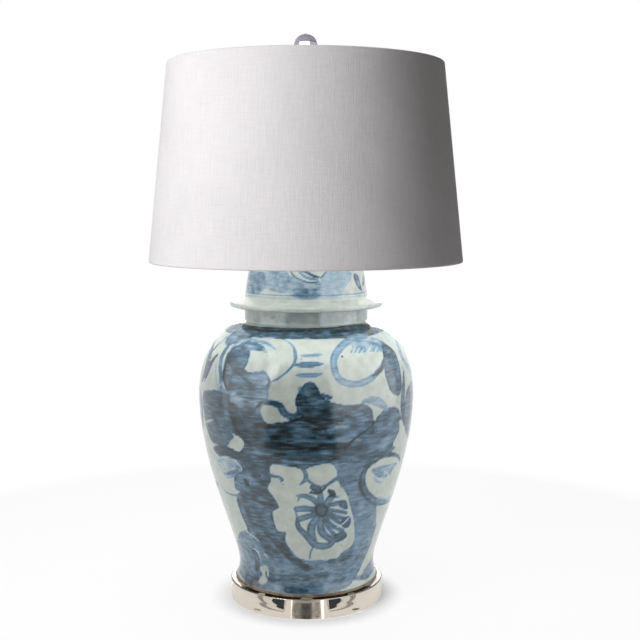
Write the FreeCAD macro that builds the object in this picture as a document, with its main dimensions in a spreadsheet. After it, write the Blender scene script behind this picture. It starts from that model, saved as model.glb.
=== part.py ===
"""Ginger jar table lamp: a hollow painted porcelain jar with its lid, clamped by one threaded pipe to a clear
round base, with a turn-knob socket, a bulb, a lift-off harp, a tapered drum shade and a ball finial.

Millimetres, +Z up. The origin is the centre of the base on the table; the knob points along -Y, to the front,
the cord hole is at the back and the harp's legs stand left and right, at -X and +X.
"""
import FreeCAD
import Part
import Sketcher

import math
import os
import re

# The driving dimensions: one cell each, with the alias as its name.
SIZES = {
    # clear base and what is under it
    "base_radius": 113.5,
    "base_thickness": 29.0,
    "base_chamfer": 1.4,
    "bumper_radius": 6.0,
    "bumper_height": 1.6,
    "bumper_inset": 21.5,
    "recess_radius": 22.0,
    "recess_depth": 11.0,
    "washer_radius": 18.0,
    "washer_thickness": 1.6,
    # the pipe that clamps the stack, and its nuts
    "pipe_radius": 4.85,
    "pipe_bore": 3.2,
    "pipe_play": 0.25,
    "thread_gap": 0.05,
    "pipe_end": 2.2,
    "nut_flats": 14.3,
    "nut_height": 5.0,
    "slot_width": 6.0,
    "slot_length": 18.0,
    # porcelain jar: the stations of its outline, with heights above the foot
    "jar_height": 406.5,
    "jar_wall": 7.0,
    "jar_floor": 8.0,
    "hole_play": 1.65,
    "foot_radius": 106.4,
    "foot_width": 10.0,
    "foot_recess": 5.0,
    "foot_bevel": 1.8,
    "waist_radius": 100.6,
    "waist_height": 21.5,
    "calf_radius": 106.6,
    "calf_height": 55.0,
    "flank_radius": 129.2,
    "flank_height": 124.0,
    "belly_radius": 157.8,
    "belly_height": 260.0,
    "chest_radius": 148.2,
    "chest_height": 333.0,
    "shoulder_radius": 120.0,
    "shoulder_height": 370.5,
    "neck_radius": 90.3,
    "neck_height": 386.0,
    # cord bushing at the back of the waist
    "bushing_bore": 3.6,
    "bushing_wall": 1.7,
    "bushing_play": 0.2,
    "bushing_flange": 2.2,
    "bushing_stand_off": 1.7,
    "bushing_flange_thickness": 2.4,
    "bushing_tail": 3.0,
    # porcelain lid
    "lid_wall": 6.0,
    "lid_rim_depth": 12.0,
    "lid_rim_play": 1.2,
    "lid_rim_wall": 5.5,
    "brim_radius": 112.6,
    "brim_edge": 8.0,
    "brim_rise": 5.2,
    "brim_cove": 2.8,
    "lid_foot_radius": 89.8,
    "lid_crown_radius": 82.0,
    "lid_crown_height": 68.0,
    "lid_top_radius": 42.0,
    "lid_round": 46.0,
    "lid_height": 94.6,
    # metal cap, spacer and harp saddle
    "cap_radius": 37.0,
    "cap_height": 12.7,
    "cap_metal": 0.9,
    "spacer_radius": 9.5,
    "spacer_height": 13.2,
    "saddle_width": 12.0,
    "saddle_metal": 1.6,
    "saddle_rise": 10.0,
    "ledge_width": 2.9,
    "tongue_width": 3.6,
    "tongue_height": 9.8,
    "tongue_gap": 0.15,
    "leg_offset": 26.0,
    # socket
    "hub_wall": 2.7,
    "hub_height": 7.0,
    "hub_grip": 5.0,
    "socket_radius": 17.8,
    "socket_metal": 0.6,
    "socket_height": 66.0,
    "cup_height": 22.0,
    "cup_gap": 0.15,
    "shell_lap": 4.0,
    "fibre_thickness": 0.7,
    "fibre_gap": 0.2,
    "fibre_set_back": 3.0,
    "core_radius": 15.6,
    "core_foot": 14.0,
    "core_height": 25.0,
    "core_bevel": 3.0,
    "thread_radius": 13.35,
    "thread_metal": 0.45,
    "thread_depth": 0.55,
    "thread_pitch": 3.6,
    "thread_turns": 6,
    "bulb_play": 0.25,
    "contact_radius": 4.5,
    "contact_height": 2.6,
    "screw_radius": 3.2,
    "screw_head": 2.0,
    "screw_seat_play": 0.4,
    "set_screw_radius": 1.55,
    # switch
    "switch_height": 26.0,
    "spindle_radius": 1.6,
    "spindle_play": 0.08,
    "spindle_depth": 6.6,
    "window_play": 2.4,
    "knob_radius": 6.6,
    "knob_length": 15.0,
    "knob_clearance": 2.6,
    "knob_flute": 0.9,
    "knob_flutes": 14,
    # bulb
    "bulb_radius": 30.0,
    "bulb_neck": 13.0,
    "bulb_reach": 84.0,
    "bulb_glass_thickness": 0.8,
    "bulb_collar": 4.0,
    "bulb_tip_radius": 4.8,
    "bulb_tip_height": 3.4,
    # harp
    "wire_radius": 1.75,
    "foot_thickness": 2.4,
    "foot_length": 11.5,
    "leg_straight": 25.0,
    "harp_height": 203.2,
    "harp_half_width": 57.0,
    "harp_flare": 50.0,
    "harp_crown": 38.0,
    "eyelet_radius": 6.4,
    "eyelet_thickness": 2.6,
    "sleeve_wall": 0.8,
    "sleeve_play": 2.1,
    "sleeve_length": 12.0,
    # swivel stud
    "rivet_radius": 2.0,
    "rivet_head": 3.4,
    "rivet_head_height": 1.2,
    "rivet_play": 0.08,
    "swivel_gap": 0.1,
    "seat_radius": 9.5,
    "seat_thickness": 1.6,
    "stud_radius": 3.15,
    "stud_length": 13.0,
    # shade
    "shade_bottom_radius": 228.6,
    "shade_top_radius": 198.5,
    "shade_height": 283.4,
    "shade_drop": 9.8,
    "cloth_thickness": 0.6,
    "liner_thickness": 0.5,
    "glue_gap": 0.1,
    "ring_wire": 1.6,
    "ring_gap": 0.15,
    "hem_height": 9.0,
    "hem_round": 2.2,
    "notch_play": 0.6,
    "arm_wire": 1.4,
    "fitter_hole": 5.6,
    "fitter_radius": 12.5,
    "fitter_thickness": 1.6,
    # finial
    "finial_foot": 7.4,
    "finial_neck": 4.9,
    "finial_cup": 9.6,
    "finial_height": 19.5,
    "finial_thread_gap": 0.08,
    "ball_radius": 17.7,
    "ball_seat": 2.0,
    "ball_gap": 0.05,
}

# Levels of the stack, bottom to top, as formulas of the sizes.
BASE_TOP = "(bumper_height + base_thickness)"
RECESS_TOP = "(bumper_height + recess_depth)"
NUT_BOTTOM = f"({RECESS_TOP} - washer_thickness - nut_height)"
JAR_TOP = f"({BASE_TOP} + jar_height)"
LID_TOP = f"({JAR_TOP} + lid_height)"
SPACER_BOTTOM = f"({LID_TOP} + cap_height)"
SADDLE_BOTTOM = f"({SPACER_BOTTOM} + spacer_height)"
SADDLE_TOP = f"({SADDLE_BOTTOM} + saddle_metal)"
SOCKET_BOTTOM = f"({SADDLE_TOP} + nut_height)"
SOCKET_TOP = f"({SOCKET_BOTTOM} + socket_height)"
CORE_TOP = f"({SOCKET_BOTTOM} + core_foot + core_height)"
SWITCH_AXIS = f"({SOCKET_BOTTOM} + switch_height)"
HARP_FOOT = f"({SADDLE_BOTTOM} + saddle_rise)"
HARP_TOP = f"({HARP_FOOT} + harp_height)"
SEAT_BOTTOM = f"({HARP_TOP} + eyelet_thickness / 2 + swivel_gap)"
FITTER_BOTTOM = f"({SEAT_BOTTOM} + seat_thickness)"
FITTER_TOP = f"({FITTER_BOTTOM} + fitter_thickness)"
SHADE_TOP = f"({FITTER_TOP} + shade_drop)"
SHADE_BOTTOM = f"({SHADE_TOP} - shade_height)"
BALL_CENTRE = f"({FITTER_TOP} + finial_height - ball_seat + ball_radius)"

# The shade's hem and rings, as formulas: the hem's width across both its sides, how deep a ring lies in it
# and the rings' radii.
HEM_WIDTH = "(2 * cloth_thickness + glue_gap + liner_thickness + 2 * ring_gap + 2 * ring_wire)"
EDGE_TO_RING = "(cloth_thickness + ring_gap + ring_wire)"
WALL_TO_RING = "(cloth_thickness + glue_gap + liner_thickness + ring_gap + ring_wire)"
RING_TAPER = f"((shade_bottom_radius - shade_top_radius) / shade_height * {EDGE_TO_RING})"
TOP_RING_RADIUS = f"(shade_top_radius + {RING_TAPER} - {WALL_TO_RING})"
BOTTOM_RING_RADIUS = f"(shade_bottom_radius - {RING_TAPER} - {WALL_TO_RING})"
ARM_TURNS = (90, 210, 330)

UP, FRONT, BACK = FreeCAD.Vector(0, 0, 1), FreeCAD.Vector(0, -1, 0), FreeCAD.Vector(0, 1, 0)
LEFT, RIGHT = FreeCAD.Vector(-1, 0, 0), FreeCAD.Vector(1, 0, 0)

doc = FreeCAD.newDocument("ginger_jar_lamp")
parts = []


def fill_sheet():
    """The spreadsheet of driving dimensions: a name, a plain number and an alias on each row."""
    sheet = doc.addObject("Spreadsheet::Sheet", "Sizes")
    for row, (name, size) in enumerate(SIZES.items(), start=1):
        sheet.set(f"A{row}", name)
        sheet.set(f"B{row}", str(size))
        sheet.setAlias(f"B{row}", name)
    doc.recompute()
    return sheet


sizes = fill_sheet()


def bound(formula):
    """The formula with each size's name pointed at its cell."""
    return re.sub(r"[a-z_]+", lambda word: f"Sizes.{word[0]}" if word[0] in SIZES else word[0], formula)


def value(formula):
    """The formula's present value."""
    return float(sizes.evalExpression(bound(formula)))


def keep(part, label):
    """Marks an object as a finished sub-part, with the name its file gets."""
    part.Label = label
    parts.append(part)
    return part


def place(part, height="0", x="0", y="0"):
    """Binds an object's place to the sizes."""
    for axis, formula in (("x", x), ("y", y), ("z", height)):
        if formula != "0":
            part.setExpression(f"Placement.Base.{axis}", bound(formula))
    return part


# ---------------------------------------------------------------- sketches


def new_body(label):
    return doc.addObject("PartDesign::Body", f"{label}_body")


def origin_plane(body, role):
    """One of the body's own origin planes."""
    return next(feature for feature in body.Origin.OriginFeatures if feature.Role == role)


def new_sketch(body, name, plane="XZ_Plane"):
    """A sketch on one of the body's own origin planes."""
    sketch = body.newObject("Sketcher::SketchObject", name)
    sketch.AttachmentSupport = (origin_plane(body, plane), [""])
    sketch.MapMode = "FlatFace"
    return sketch


def circle_sketch(body, name, plane, radius, across="0"):
    """A sketch that holds one circle, on the sketch's first axis."""
    sketch = new_sketch(body, name, plane)
    centre = FreeCAD.Vector(value(across), 0, 0)
    circle = sketch.addGeometry(Part.Circle(centre, UP, value(radius)))
    pin_point(sketch, circle, 3, across, "0")
    rule = sketch.addConstraint(Sketcher.Constraint("Radius", circle, value(radius)))
    sketch.setExpression(f"Constraints[{rule}]", bound(radius))
    return sketch


def pin_point(sketch, geometry, vertex, across, up):
    """Fixes a vertex at (across, up) from the sketch's origin, each a formula or the axis itself."""
    for kind, formula, axis in (("DistanceX", across, -2), ("DistanceY", up, -1)):
        if formula == "0":
            sketch.addConstraint(Sketcher.Constraint("PointOnObject", geometry, vertex, axis))
        else:
            rule = Sketcher.Constraint(kind, -1, 1, geometry, vertex, value(formula))
            index = sketch.addConstraint(rule)
            sketch.setExpression(f"Constraints[{index}]", bound(formula))


def arc_between(start, end, radius, turn):
    """The arc from start to end that turns left (+1) or right (-1), and which of its ends is the start."""
    chord = end - start
    left = FreeCAD.Vector(-chord.y, chord.x, 0).normalize()
    rise = math.sqrt(max(radius**2 - (chord.Length / 2) ** 2, 0.0))
    centre = (start + end) * 0.5 + left * (rise * turn)
    first, last = (start, end) if turn > 0 else (end, start)
    begin = math.atan2(first.y - centre.y, first.x - centre.x)
    finish = math.atan2(last.y - centre.y, last.x - centre.x)
    if finish <= begin:
        finish += 2 * math.pi
    circle = Part.Circle(centre, FreeCAD.Vector(0, 0, 1), radius)
    return Part.ArcOfCircle(circle, begin, finish), (1, 2) if turn > 0 else (2, 1)


def draw_outline(sketch, outline):
    """Draws a closed outline. A point is (across, up) in formulas, or (across, up, radius, turn) where an arc leaves it."""
    points = [FreeCAD.Vector(value(corner[0]), value(corner[1]), 0) for corner in outline]
    ends = []
    for index, corner in enumerate(outline):
        start, end = points[index], points[(index + 1) % len(points)]
        if len(corner) == 4:
            shape, vertices = arc_between(start, end, value(corner[2]), corner[3])
        else:
            shape, vertices = Part.LineSegment(start, end), (1, 2)
        ends.append((sketch.addGeometry(shape), *vertices))
    for index, corner in enumerate(outline):
        geometry, first, last = ends[index]
        following = ends[(index + 1) % len(ends)]
        sketch.addConstraint(Sketcher.Constraint("Coincident", geometry, last, following[0], following[1]))
        pin_point(sketch, geometry, first, corner[0], corner[1])
        if len(corner) == 4:
            rule = sketch.addConstraint(Sketcher.Constraint("Radius", geometry, value(corner[2])))
            sketch.setExpression(f"Constraints[{rule}]", bound(corner[2]))


def revolve(body, name, outline):
    """Turns an outline of (radius, height) points about the body's Z axis."""
    sketch = new_sketch(body, f"{name}_outline")
    draw_outline(sketch, outline)
    turned = body.newObject("PartDesign::Revolution", name)
    turned.Profile = sketch
    turned.ReferenceAxis = (sketch, ["V_Axis"])
    turned.Angle = 360
    sketch.Visibility = False
    doc.recompute()
    return turned


def lathe(label, outline, height="0"):
    """A turned sub-part, standing at a level of the stack."""
    body = new_body(label)
    revolve(body, f"{label}_turned", outline)
    place(body, height)
    return keep(body, label)


def turned_along(label, outline, direction, height="0", y="0"):
    """A turned sub-part whose axis points another way than up."""
    body = new_body(label)
    revolve(body, f"{label}_turned", outline)
    body.Placement = FreeCAD.Placement(FreeCAD.Vector(), FreeCAD.Rotation(UP, direction))
    return keep(place(body, height, y=y), label)


def pad_side(body, name, width, outline):
    """A strip of metal: its side view, padded to a width on both sides of the XZ plane."""
    sketch = new_sketch(body, f"{name}_side")
    draw_outline(sketch, outline)
    strip = body.newObject("PartDesign::Pad", name)
    strip.Profile = sketch
    strip.Midplane = True
    strip.setExpression("Length", bound(width))
    doc.recompute()
    return strip


# ---------------------------------------------------------------- plain solids


def primitive(kind, name, **formulas):
    """A Part primitive whose properties follow the sizes."""
    solid = doc.addObject(kind, name)
    for prop, formula in formulas.items():
        solid.setExpression(prop, bound(formula))
    return solid


def cylinder(name, radius, length, height="0", x="0", y="0", along=None):
    """A cylinder, along Z or turned to lie along another axis."""
    solid = primitive("Part::Cylinder", name, Radius=radius, Height=length)
    if along is not None:
        solid.Placement = FreeCAD.Placement(FreeCAD.Vector(), FreeCAD.Rotation(UP, along))
    return place(solid, height, x, y)


def box(name, length, width, height):
    """A block with its low corner at the origin."""
    return primitive("Part::Box", name, Length=length, Width=width, Height=height)


def cut(name, base, tool):
    """Base with tool taken away."""
    result = doc.addObject("Part::Cut", name)
    result.Base, result.Tool = base, tool
    return result


def fuse(name, *solids):
    """Several solids as one."""
    result = doc.addObject("Part::MultiFuse", name)
    result.Shapes = list(solids)
    return result


def compound(name, solids):
    """Separate solids that share one sub-part."""
    group = doc.addObject("Part::Compound", name)
    group.Links = solids
    return group


def hex_nut(label, height):
    """A hexagonal lock nut on the pipe."""
    block = primitive("Part::Prism", f"{label}_block", Circumradius="nut_flats / 2 / cos(30)", Height="nut_height")
    block.Polygon = 6
    hole = cylinder(f"{label}_hole", "pipe_radius + thread_gap", "nut_height")
    nut = cut(f"{label}_nut", block, hole)
    return keep(place(nut, height), label)


# ---------------------------------------------------------------- base


def build_base():
    """The clear disc, with a hole for the pipe, a recess for the nut below it and four bumpers."""
    lathe(
        "acrylic_base",
        [
            ("pipe_radius + pipe_play", "recess_depth"),
            ("recess_radius", "recess_depth"),
            ("recess_radius", "0"),
            ("base_radius - base_chamfer", "0"),
            ("base_radius", "base_chamfer"),
            ("base_radius", "base_thickness - base_chamfer"),
            ("base_radius - base_chamfer", "base_thickness"),
            ("pipe_radius + pipe_play", "base_thickness"),
        ],
        "bumper_height",
    )
    bumpers = []
    for number in range(4):
        turn = 45 + 90 * number
        bumper = cylinder(
            f"bumper_{number}",
            "bumper_radius",
            "bumper_height",
            x=f"(base_radius - bumper_inset) * cos({turn})",
            y=f"(base_radius - bumper_inset) * sin({turn})",
        )
        bumpers.append(bumper)
    keep(compound("bumper_group", bumpers), "base_bumpers")
    washer_hole = "pipe_radius + pipe_play"
    lathe(
        "base_washer",
        [
            (washer_hole, "0"),
            ("washer_radius", "0"),
            ("washer_radius", "washer_thickness"),
            (washer_hole, "washer_thickness"),
        ],
        f"{RECESS_TOP} - washer_thickness",
    )
    hex_nut("base_nut", NUT_BOTTOM)


def build_pipe():
    """The threaded pipe that clamps base, jar, lid and socket, with a slot where the cord enters it."""
    start = f"({NUT_BOTTOM} - pipe_end)"
    length = f"{SOCKET_BOTTOM} + hub_grip - {start}"
    tube = cut("pipe_tube", cylinder("pipe_outside", "pipe_radius", length), cylinder("pipe_inside", "pipe_bore", length))
    slot = box("pipe_slot", "slot_width", "pipe_radius * 2", "slot_length")
    place(slot, f"{BASE_TOP} + waist_height - slot_length / 2 - {start}", x="-slot_width / 2")
    keep(place(cut("pipe", tube, slot), start), "threaded_pipe")


# ---------------------------------------------------------------- jar


def jar_outline():
    """The outside of the thrown wall as a spline from foot to neck, and the inside a wall's thickness from it."""
    stations = [("foot_radius", "foot_bevel")]
    stations += [(f"{name}_radius", f"{name}_height") for name in ("waist", "calf", "flank", "belly")]
    stations += [(f"{name}_radius", f"{name}_height") for name in ("chest", "shoulder", "neck")]
    outside = Part.BSplineCurve()
    outside.interpolate([FreeCAD.Vector(value(radius), 0, value(height)) for radius, height in stations])
    floor, neck_inside = value("foot_recess + jar_floor"), value("neck_radius - jar_wall")
    steps = 24
    inner_points = []
    for step in range(steps + 1):
        u = outside.FirstParameter + (outside.LastParameter - outside.FirstParameter) * step / steps
        along = outside.tangent(u)[0]
        point = outside.value(u) + FreeCAD.Vector(-along.z, 0, along.x) * value("jar_wall")
        if point.z > floor and point.x > neck_inside:
            inner_points.append(point)
    inner_points[0].z = floor
    inner_points.append(FreeCAD.Vector(neck_inside, 0, value("neck_height")))
    inside = Part.BSplineCurve()
    inside.interpolate(inner_points)
    return outside, inside


def jar_profile():
    """The face that turns into the jar: foot ring, raised floor, curved wall and upright neck."""
    outside, inside = jar_outline()
    outer, inner = value("neck_radius"), value("neck_radius - jar_wall")
    hole, foot_inside = value("pipe_radius + hole_play"), value("foot_radius - foot_width")
    top, floor, recess = value("jar_height"), value("foot_recess + jar_floor"), value("foot_recess")
    rim = [outside.EndPoint, FreeCAD.Vector(outer, 0, top), FreeCAD.Vector(inner, 0, top), inside.EndPoint]
    underside = [inside.StartPoint]
    underside += [FreeCAD.Vector(hole, 0, floor), FreeCAD.Vector(hole, 0, recess)]
    underside += [FreeCAD.Vector(foot_inside, 0, recess), FreeCAD.Vector(foot_inside, 0, 0)]
    underside += [FreeCAD.Vector(value("foot_radius - foot_bevel"), 0, 0), outside.StartPoint]
    edges = [outside.toShape(), inside.toShape()]
    for chain in (rim, underside):
        edges += [Part.makeLine(start, end) for start, end in zip(chain, chain[1:])]
    profile = doc.addObject("Part::Feature", "jar_profile")
    profile.Shape = Part.Face(Part.Wire(Part.__sortEdges__(edges)))
    return profile


def build_jar():
    """The thrown jar, with the hole for the cord bushing at the back of its waist."""
    thrown = doc.addObject("Part::Revolution", "jar_thrown")
    thrown.Source = jar_profile()
    thrown.Axis = FreeCAD.Vector(0, 0, 1)
    thrown.Base = FreeCAD.Vector(0, 0, 0)
    thrown.Angle = 360
    thrown.Solid = True
    drill = cylinder(
        "jar_drill",
        "bushing_bore + bushing_wall + bushing_play",
        "waist_radius",
        height="waist_height",
        y="waist_radius / 2",
        along=BACK,
    )
    keep(place(cut("jar", thrown, drill), BASE_TOP), "jar_body")


def build_bushing():
    """The flanged bushing that lines the cord hole, its flange standing on the waist."""
    tube = "(jar_wall + bushing_tail + bushing_stand_off)"
    outer = "bushing_bore + bushing_wall"
    rim = f"{outer} + bushing_flange"
    face = f"{tube} + bushing_flange_thickness"
    turned_along(
        "cord_bushing",
        [
            ("bushing_bore", "0"),
            (outer, "0"),
            (outer, tube),
            (rim, tube),
            (rim, f"{tube} + bushing_flange_thickness * 0.4"),
            (f"{outer} + bushing_flange * 0.4", face),
            ("bushing_bore", face),
        ],
        BACK,
        height=f"{BASE_TOP} + waist_height",
        y="waist_radius - jar_wall - bushing_tail",
    )


def build_lid():
    """The lid: a rim inside the jar's neck, a wide rounded brim, an upright wall and a flat-topped dome."""
    seat = "lid_rim_depth"
    rim = "(neck_radius - jar_wall - lid_rim_play)"
    slope_top = f"({seat} + brim_edge + brim_rise)"
    crown = f"({seat} + lid_crown_height)"
    top = f"({seat} + lid_height)"
    hole = "pipe_radius + hole_play"
    lathe(
        "jar_lid",
        [
            (f"{rim} - lid_rim_wall", "0"),
            (rim, "0"),
            (rim, seat),
            ("brim_radius - brim_edge / 2", seat, "brim_edge / 2", 1),
            ("brim_radius", f"{seat} + brim_edge / 2", "brim_edge / 2", 1),
            ("brim_radius - brim_edge / 2", f"{seat} + brim_edge"),
            ("lid_foot_radius + brim_cove", slope_top, "brim_cove * 1.2", -1),
            ("lid_foot_radius", f"{slope_top} + brim_cove"),
            ("lid_crown_radius", crown, "lid_round", 1),
            ("lid_top_radius", top),
            (hole, top),
            (hole, f"{top} - lid_wall"),
            ("lid_top_radius", f"{top} - lid_wall", "lid_round - lid_wall", -1),
            ("lid_crown_radius - lid_wall", crown),
            ("lid_foot_radius - lid_wall", f"{seat} + brim_edge"),
            (f"{rim} - lid_rim_wall", f"{seat} + brim_edge / 4"),
        ],
        f"{JAR_TOP} - {seat}",
    )


# ---------------------------------------------------------------- metalwork on the lid


def build_cap_and_spacer():
    """The spun cap that spreads the clamping load on the lid, and the turned spacer above it."""
    hole = "pipe_radius + pipe_play"
    hub = "(spacer_radius + 2)"
    waist, drop, bulge, sweep = "cap_radius * 0.76", "cap_height * 0.68", "cap_height * 0.8", "cap_height * 3"
    lathe(
        "vase_cap",
        [
            ("cap_radius - cap_metal", "0"),
            ("cap_radius", "0"),
            ("cap_radius", "cap_height * 0.2", bulge, 1),
            (waist, drop, sweep, -1),
            (hub, "cap_height"),
            (hole, "cap_height"),
            (hole, "cap_height - cap_metal"),
            (f"{hub} - cap_metal", "cap_height - cap_metal", sweep, 1),
            (f"{waist} - cap_metal", f"{drop} - cap_metal", bulge, -1),
            ("cap_radius - cap_metal", "cap_height * 0.2"),
        ],
        LID_TOP,
    )
    lathe(
        "neck_spacer",
        [
            (hole, "0"),
            ("spacer_radius", "0"),
            ("spacer_radius", "spacer_height * 0.2", "spacer_height * 0.6", -1),
            ("spacer_radius", "spacer_height * 0.8"),
            ("spacer_radius", "spacer_height"),
            (hole, "spacer_height"),
        ],
        SPACER_BOTTOM,
    )


def build_saddle():
    """The bent strip that carries the harp: a drilled flat, two uprights, and a ledge and a tongue on each."""
    outer = "(leg_offset - foot_thickness / 2 + ledge_width)"
    inner = "(leg_offset - foot_thickness / 2 - tongue_gap - saddle_metal)"
    bend = "saddle_metal * 2"
    body = new_body("harp_saddle")
    strip = pad_side(
        body,
        "saddle_strip",
        "saddle_width",
        [
            ("0", "0"),
            (f"{inner} + saddle_metal - {bend}", "0", bend, 1),
            (f"{inner} + saddle_metal", bend),
            (f"{inner} + saddle_metal", "saddle_rise - saddle_metal"),
            (outer, "saddle_rise - saddle_metal"),
            (outer, "saddle_rise"),
            (inner, "saddle_rise"),
            (inner, bend, f"{bend} - saddle_metal", -1),
            (f"{inner} + saddle_metal - {bend}", "saddle_metal"),
            ("0", "saddle_metal"),
        ],
    )
    tongue = pad_side(
        body,
        "saddle_tongue",
        "tongue_width",
        [
            (inner, "saddle_rise - saddle_metal"),
            (f"{inner} + saddle_metal", "saddle_rise - saddle_metal"),
            (f"{inner} + saddle_metal", "saddle_rise + tongue_height"),
            (inner, "saddle_rise + tongue_height"),
        ],
    )
    mirror = body.newObject("PartDesign::Mirrored", "saddle_both_sides")
    mirror.Originals = [strip, tongue]
    mirror.MirrorPlane = (origin_plane(body, "YZ_Plane"), [""])
    body.Tip = mirror
    doc.recompute()
    hole = body.newObject("PartDesign::Pocket", "saddle_drilled")
    hole.Profile = circle_sketch(body, "saddle_hole", "XY_Plane", "pipe_radius + pipe_play")
    hole.Midplane = True
    hole.setExpression("Length", bound("saddle_metal * 4"))
    body.Tip = hole
    keep(place(body, SADDLE_BOTTOM), "harp_saddle")
    hex_nut("saddle_nut", SADDLE_TOP)


# ---------------------------------------------------------------- socket


def build_socket_cap():
    """The socket's cup-shaped cap, screwed on the pipe, with the screw that locks it there."""
    bore, hub = "(pipe_radius + thread_gap)", "(pipe_radius + thread_gap + hub_wall)"
    cup_inside = "(socket_radius + socket_metal + cup_gap)"
    cup_outside = f"({cup_inside} + socket_metal)"
    straight = "(cup_height - shell_lap - 1)"
    curve = "cup_height * 0.6"
    cap = new_body("socket_cap")
    revolve(
        cap,
        "socket_cap_turned",
        [
            (bore, "0"),
            (hub, "0"),
            (hub, "hub_height"),
            (f"{hub} + 2", "hub_height + 1", curve, 1),
            (cup_outside, straight),
            (cup_outside, "cup_height"),
            (cup_inside, "cup_height"),
            (cup_inside, straight, curve, -1),
            (f"{hub} + 2", "hub_height + 1 + socket_metal"),
            (bore, "hub_height + 1 + socket_metal"),
        ],
    )
    place(cap, SOCKET_BOTTOM)
    where = {"height": f"{SOCKET_BOTTOM} + hub_height / 2", "along": BACK}
    hole = cylinder("cap_screw_hole", "set_screw_radius + thread_gap", "hub_wall * 2", y=bore, **where)
    keep(cut("socket_cap_drilled", cap, hole), "socket_cap")
    keep(cylinder("cap_screw_pin", "set_screw_radius", "hub_wall + 2", y=bore, **where), "cap_screw")


def windowed_sleeve(label, radius, wall, length):
    """A thin sleeve of the socket, with a window at the front for the switch spindle."""
    body = new_body(label)
    outline = [(f"{radius} - {wall}", "0"), (radius, "0"), (radius, length), (f"{radius} - {wall}", length)]
    revolve(body, f"{label}_turned", outline)
    place(body, f"{SOCKET_BOTTOM} + cup_height - shell_lap")
    window = cylinder(
        f"{label}_window",
        "spindle_radius + window_play",
        "socket_radius * 1.5",
        height=SWITCH_AXIS,
        y="-socket_radius / 2",
        along=FRONT,
    )
    return keep(cut(f"{label}_cut", body, window), label)


def build_core():
    """The moulded switch core, with its spindle bore and seats for the two terminal screws."""
    core = new_body("socket_core")
    revolve(
        core,
        "core_turned",
        [
            ("0", "0"),
            ("core_radius - core_bevel", "0"),
            ("core_radius", "core_bevel"),
            ("core_radius", "core_height"),
            ("0", "core_height"),
        ],
    )
    place(core, f"{SOCKET_BOTTOM} + core_foot")
    bore = cylinder(
        "core_bore",
        "spindle_radius + spindle_play",
        "core_radius",
        height=SWITCH_AXIS,
        y="-(core_radius - spindle_depth)",
        along=FRONT,
    )
    seats, screws = [], []
    for name, side, direction in (("left", "-1", LEFT), ("right", "1", RIGHT)):
        where = {"height": SWITCH_AXIS, "x": f"{side} * (core_radius - screw_head - thread_gap)", "along": direction}
        seats.append(cylinder(f"seat_{name}", "screw_radius + screw_seat_play", "screw_head * 2", **where))
        screws.append(cylinder(f"screw_{name}", "screw_radius", "screw_head", **where))
    keep(cut("core", core, fuse("core_holes", bore, *seats)), "socket_core")
    keep(compound("terminal_screw_group", screws), "terminal_screws")


def build_screw_shell():
    """The rolled screw shell that takes the bulb, and the contact in its middle."""
    outside = rolled_rings("thread_radius + thread_metal", "thread_turns")
    inside = rolled_rings("thread_radius", "thread_turns")
    lathe("screw_shell", outside + inside[::-1], CORE_TOP)
    lathe(
        "centre_contact",
        [
            ("0", "0"),
            ("contact_radius", "0"),
            ("contact_radius", "contact_height / 3"),
            ("contact_radius / 3", "contact_height"),
            ("0", "contact_height"),
        ],
        CORE_TOP,
    )


def rolled_rings(radius, turns, start="0"):
    """A rolled thread drawn as rings: roots at the radius, crests a thread's depth outside it."""
    steps = 2 * int(value(turns)) + 1
    return [
        (f"{radius} + thread_depth * {step % 2}", f"{start} + thread_pitch / 2 * {step}") for step in range(steps)
    ]


def build_socket():
    """The turn-knob socket."""
    build_socket_cap()
    shell_length = "(socket_height - cup_height + shell_lap)"
    windowed_sleeve("socket_shell", "(socket_radius + socket_metal)", "socket_metal", shell_length)
    windowed_sleeve(
        "socket_sleeve", "(socket_radius - fibre_gap)", "fibre_thickness", f"{shell_length} - fibre_set_back"
    )
    build_core()
    build_screw_shell()


# ---------------------------------------------------------------- switch


def build_switch():
    """The switch's spindle and the fluted knob on its end, which point to the front."""
    start = "(core_radius - spindle_depth + thread_gap)"
    knob_start = "(socket_radius + socket_metal + cup_gap + knob_clearance)"
    reach = "knob_length * 0.7"
    spindle = cylinder(
        "spindle",
        "spindle_radius",
        f"{knob_start} + {reach} - {start}",
        height=SWITCH_AXIS,
        y=f"-{start}",
        along=FRONT,
    )
    keep(spindle, "switch_spindle")

    body = new_body("switch_knob")
    revolve(
        body,
        "knob_turned",
        [
            ("spindle_radius", "0"),
            ("knob_radius * 0.62", "0"),
            ("knob_radius * 0.62", "knob_length * 0.25", "knob_length * 0.3", -1),
            ("knob_radius", "knob_length * 0.5"),
            ("knob_radius", "knob_length - knob_flute", "knob_flute", 1),
            ("knob_radius - knob_flute", "knob_length"),
            ("0", "knob_length"),
            ("0", reach),
            ("spindle_radius", reach),
        ],
    )
    outline = circle_sketch(body, "flute_outline", "XY_Plane", "knob_flute", "knob_radius + knob_flute / 3")
    flute = body.newObject("PartDesign::Pocket", "knob_first_flute")
    flute.Profile = outline
    flute.Reversed = True
    flute.setExpression("Length", bound("knob_length * 2"))
    doc.recompute()
    ring = body.newObject("PartDesign::PolarPattern", "knob_all_flutes")
    ring.Originals = [flute]
    ring.Axis = (outline, ["N_Axis"])
    ring.Angle = 360
    ring.setExpression("Occurrences", bound("knob_flutes"))
    body.Tip = ring
    body.Placement = FreeCAD.Placement(FreeCAD.Vector(), FreeCAD.Rotation(UP, FRONT))
    keep(place(body, SWITCH_AXIS, y=f"-{knob_start}"), "switch_knob")


# ---------------------------------------------------------------- bulb


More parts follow.
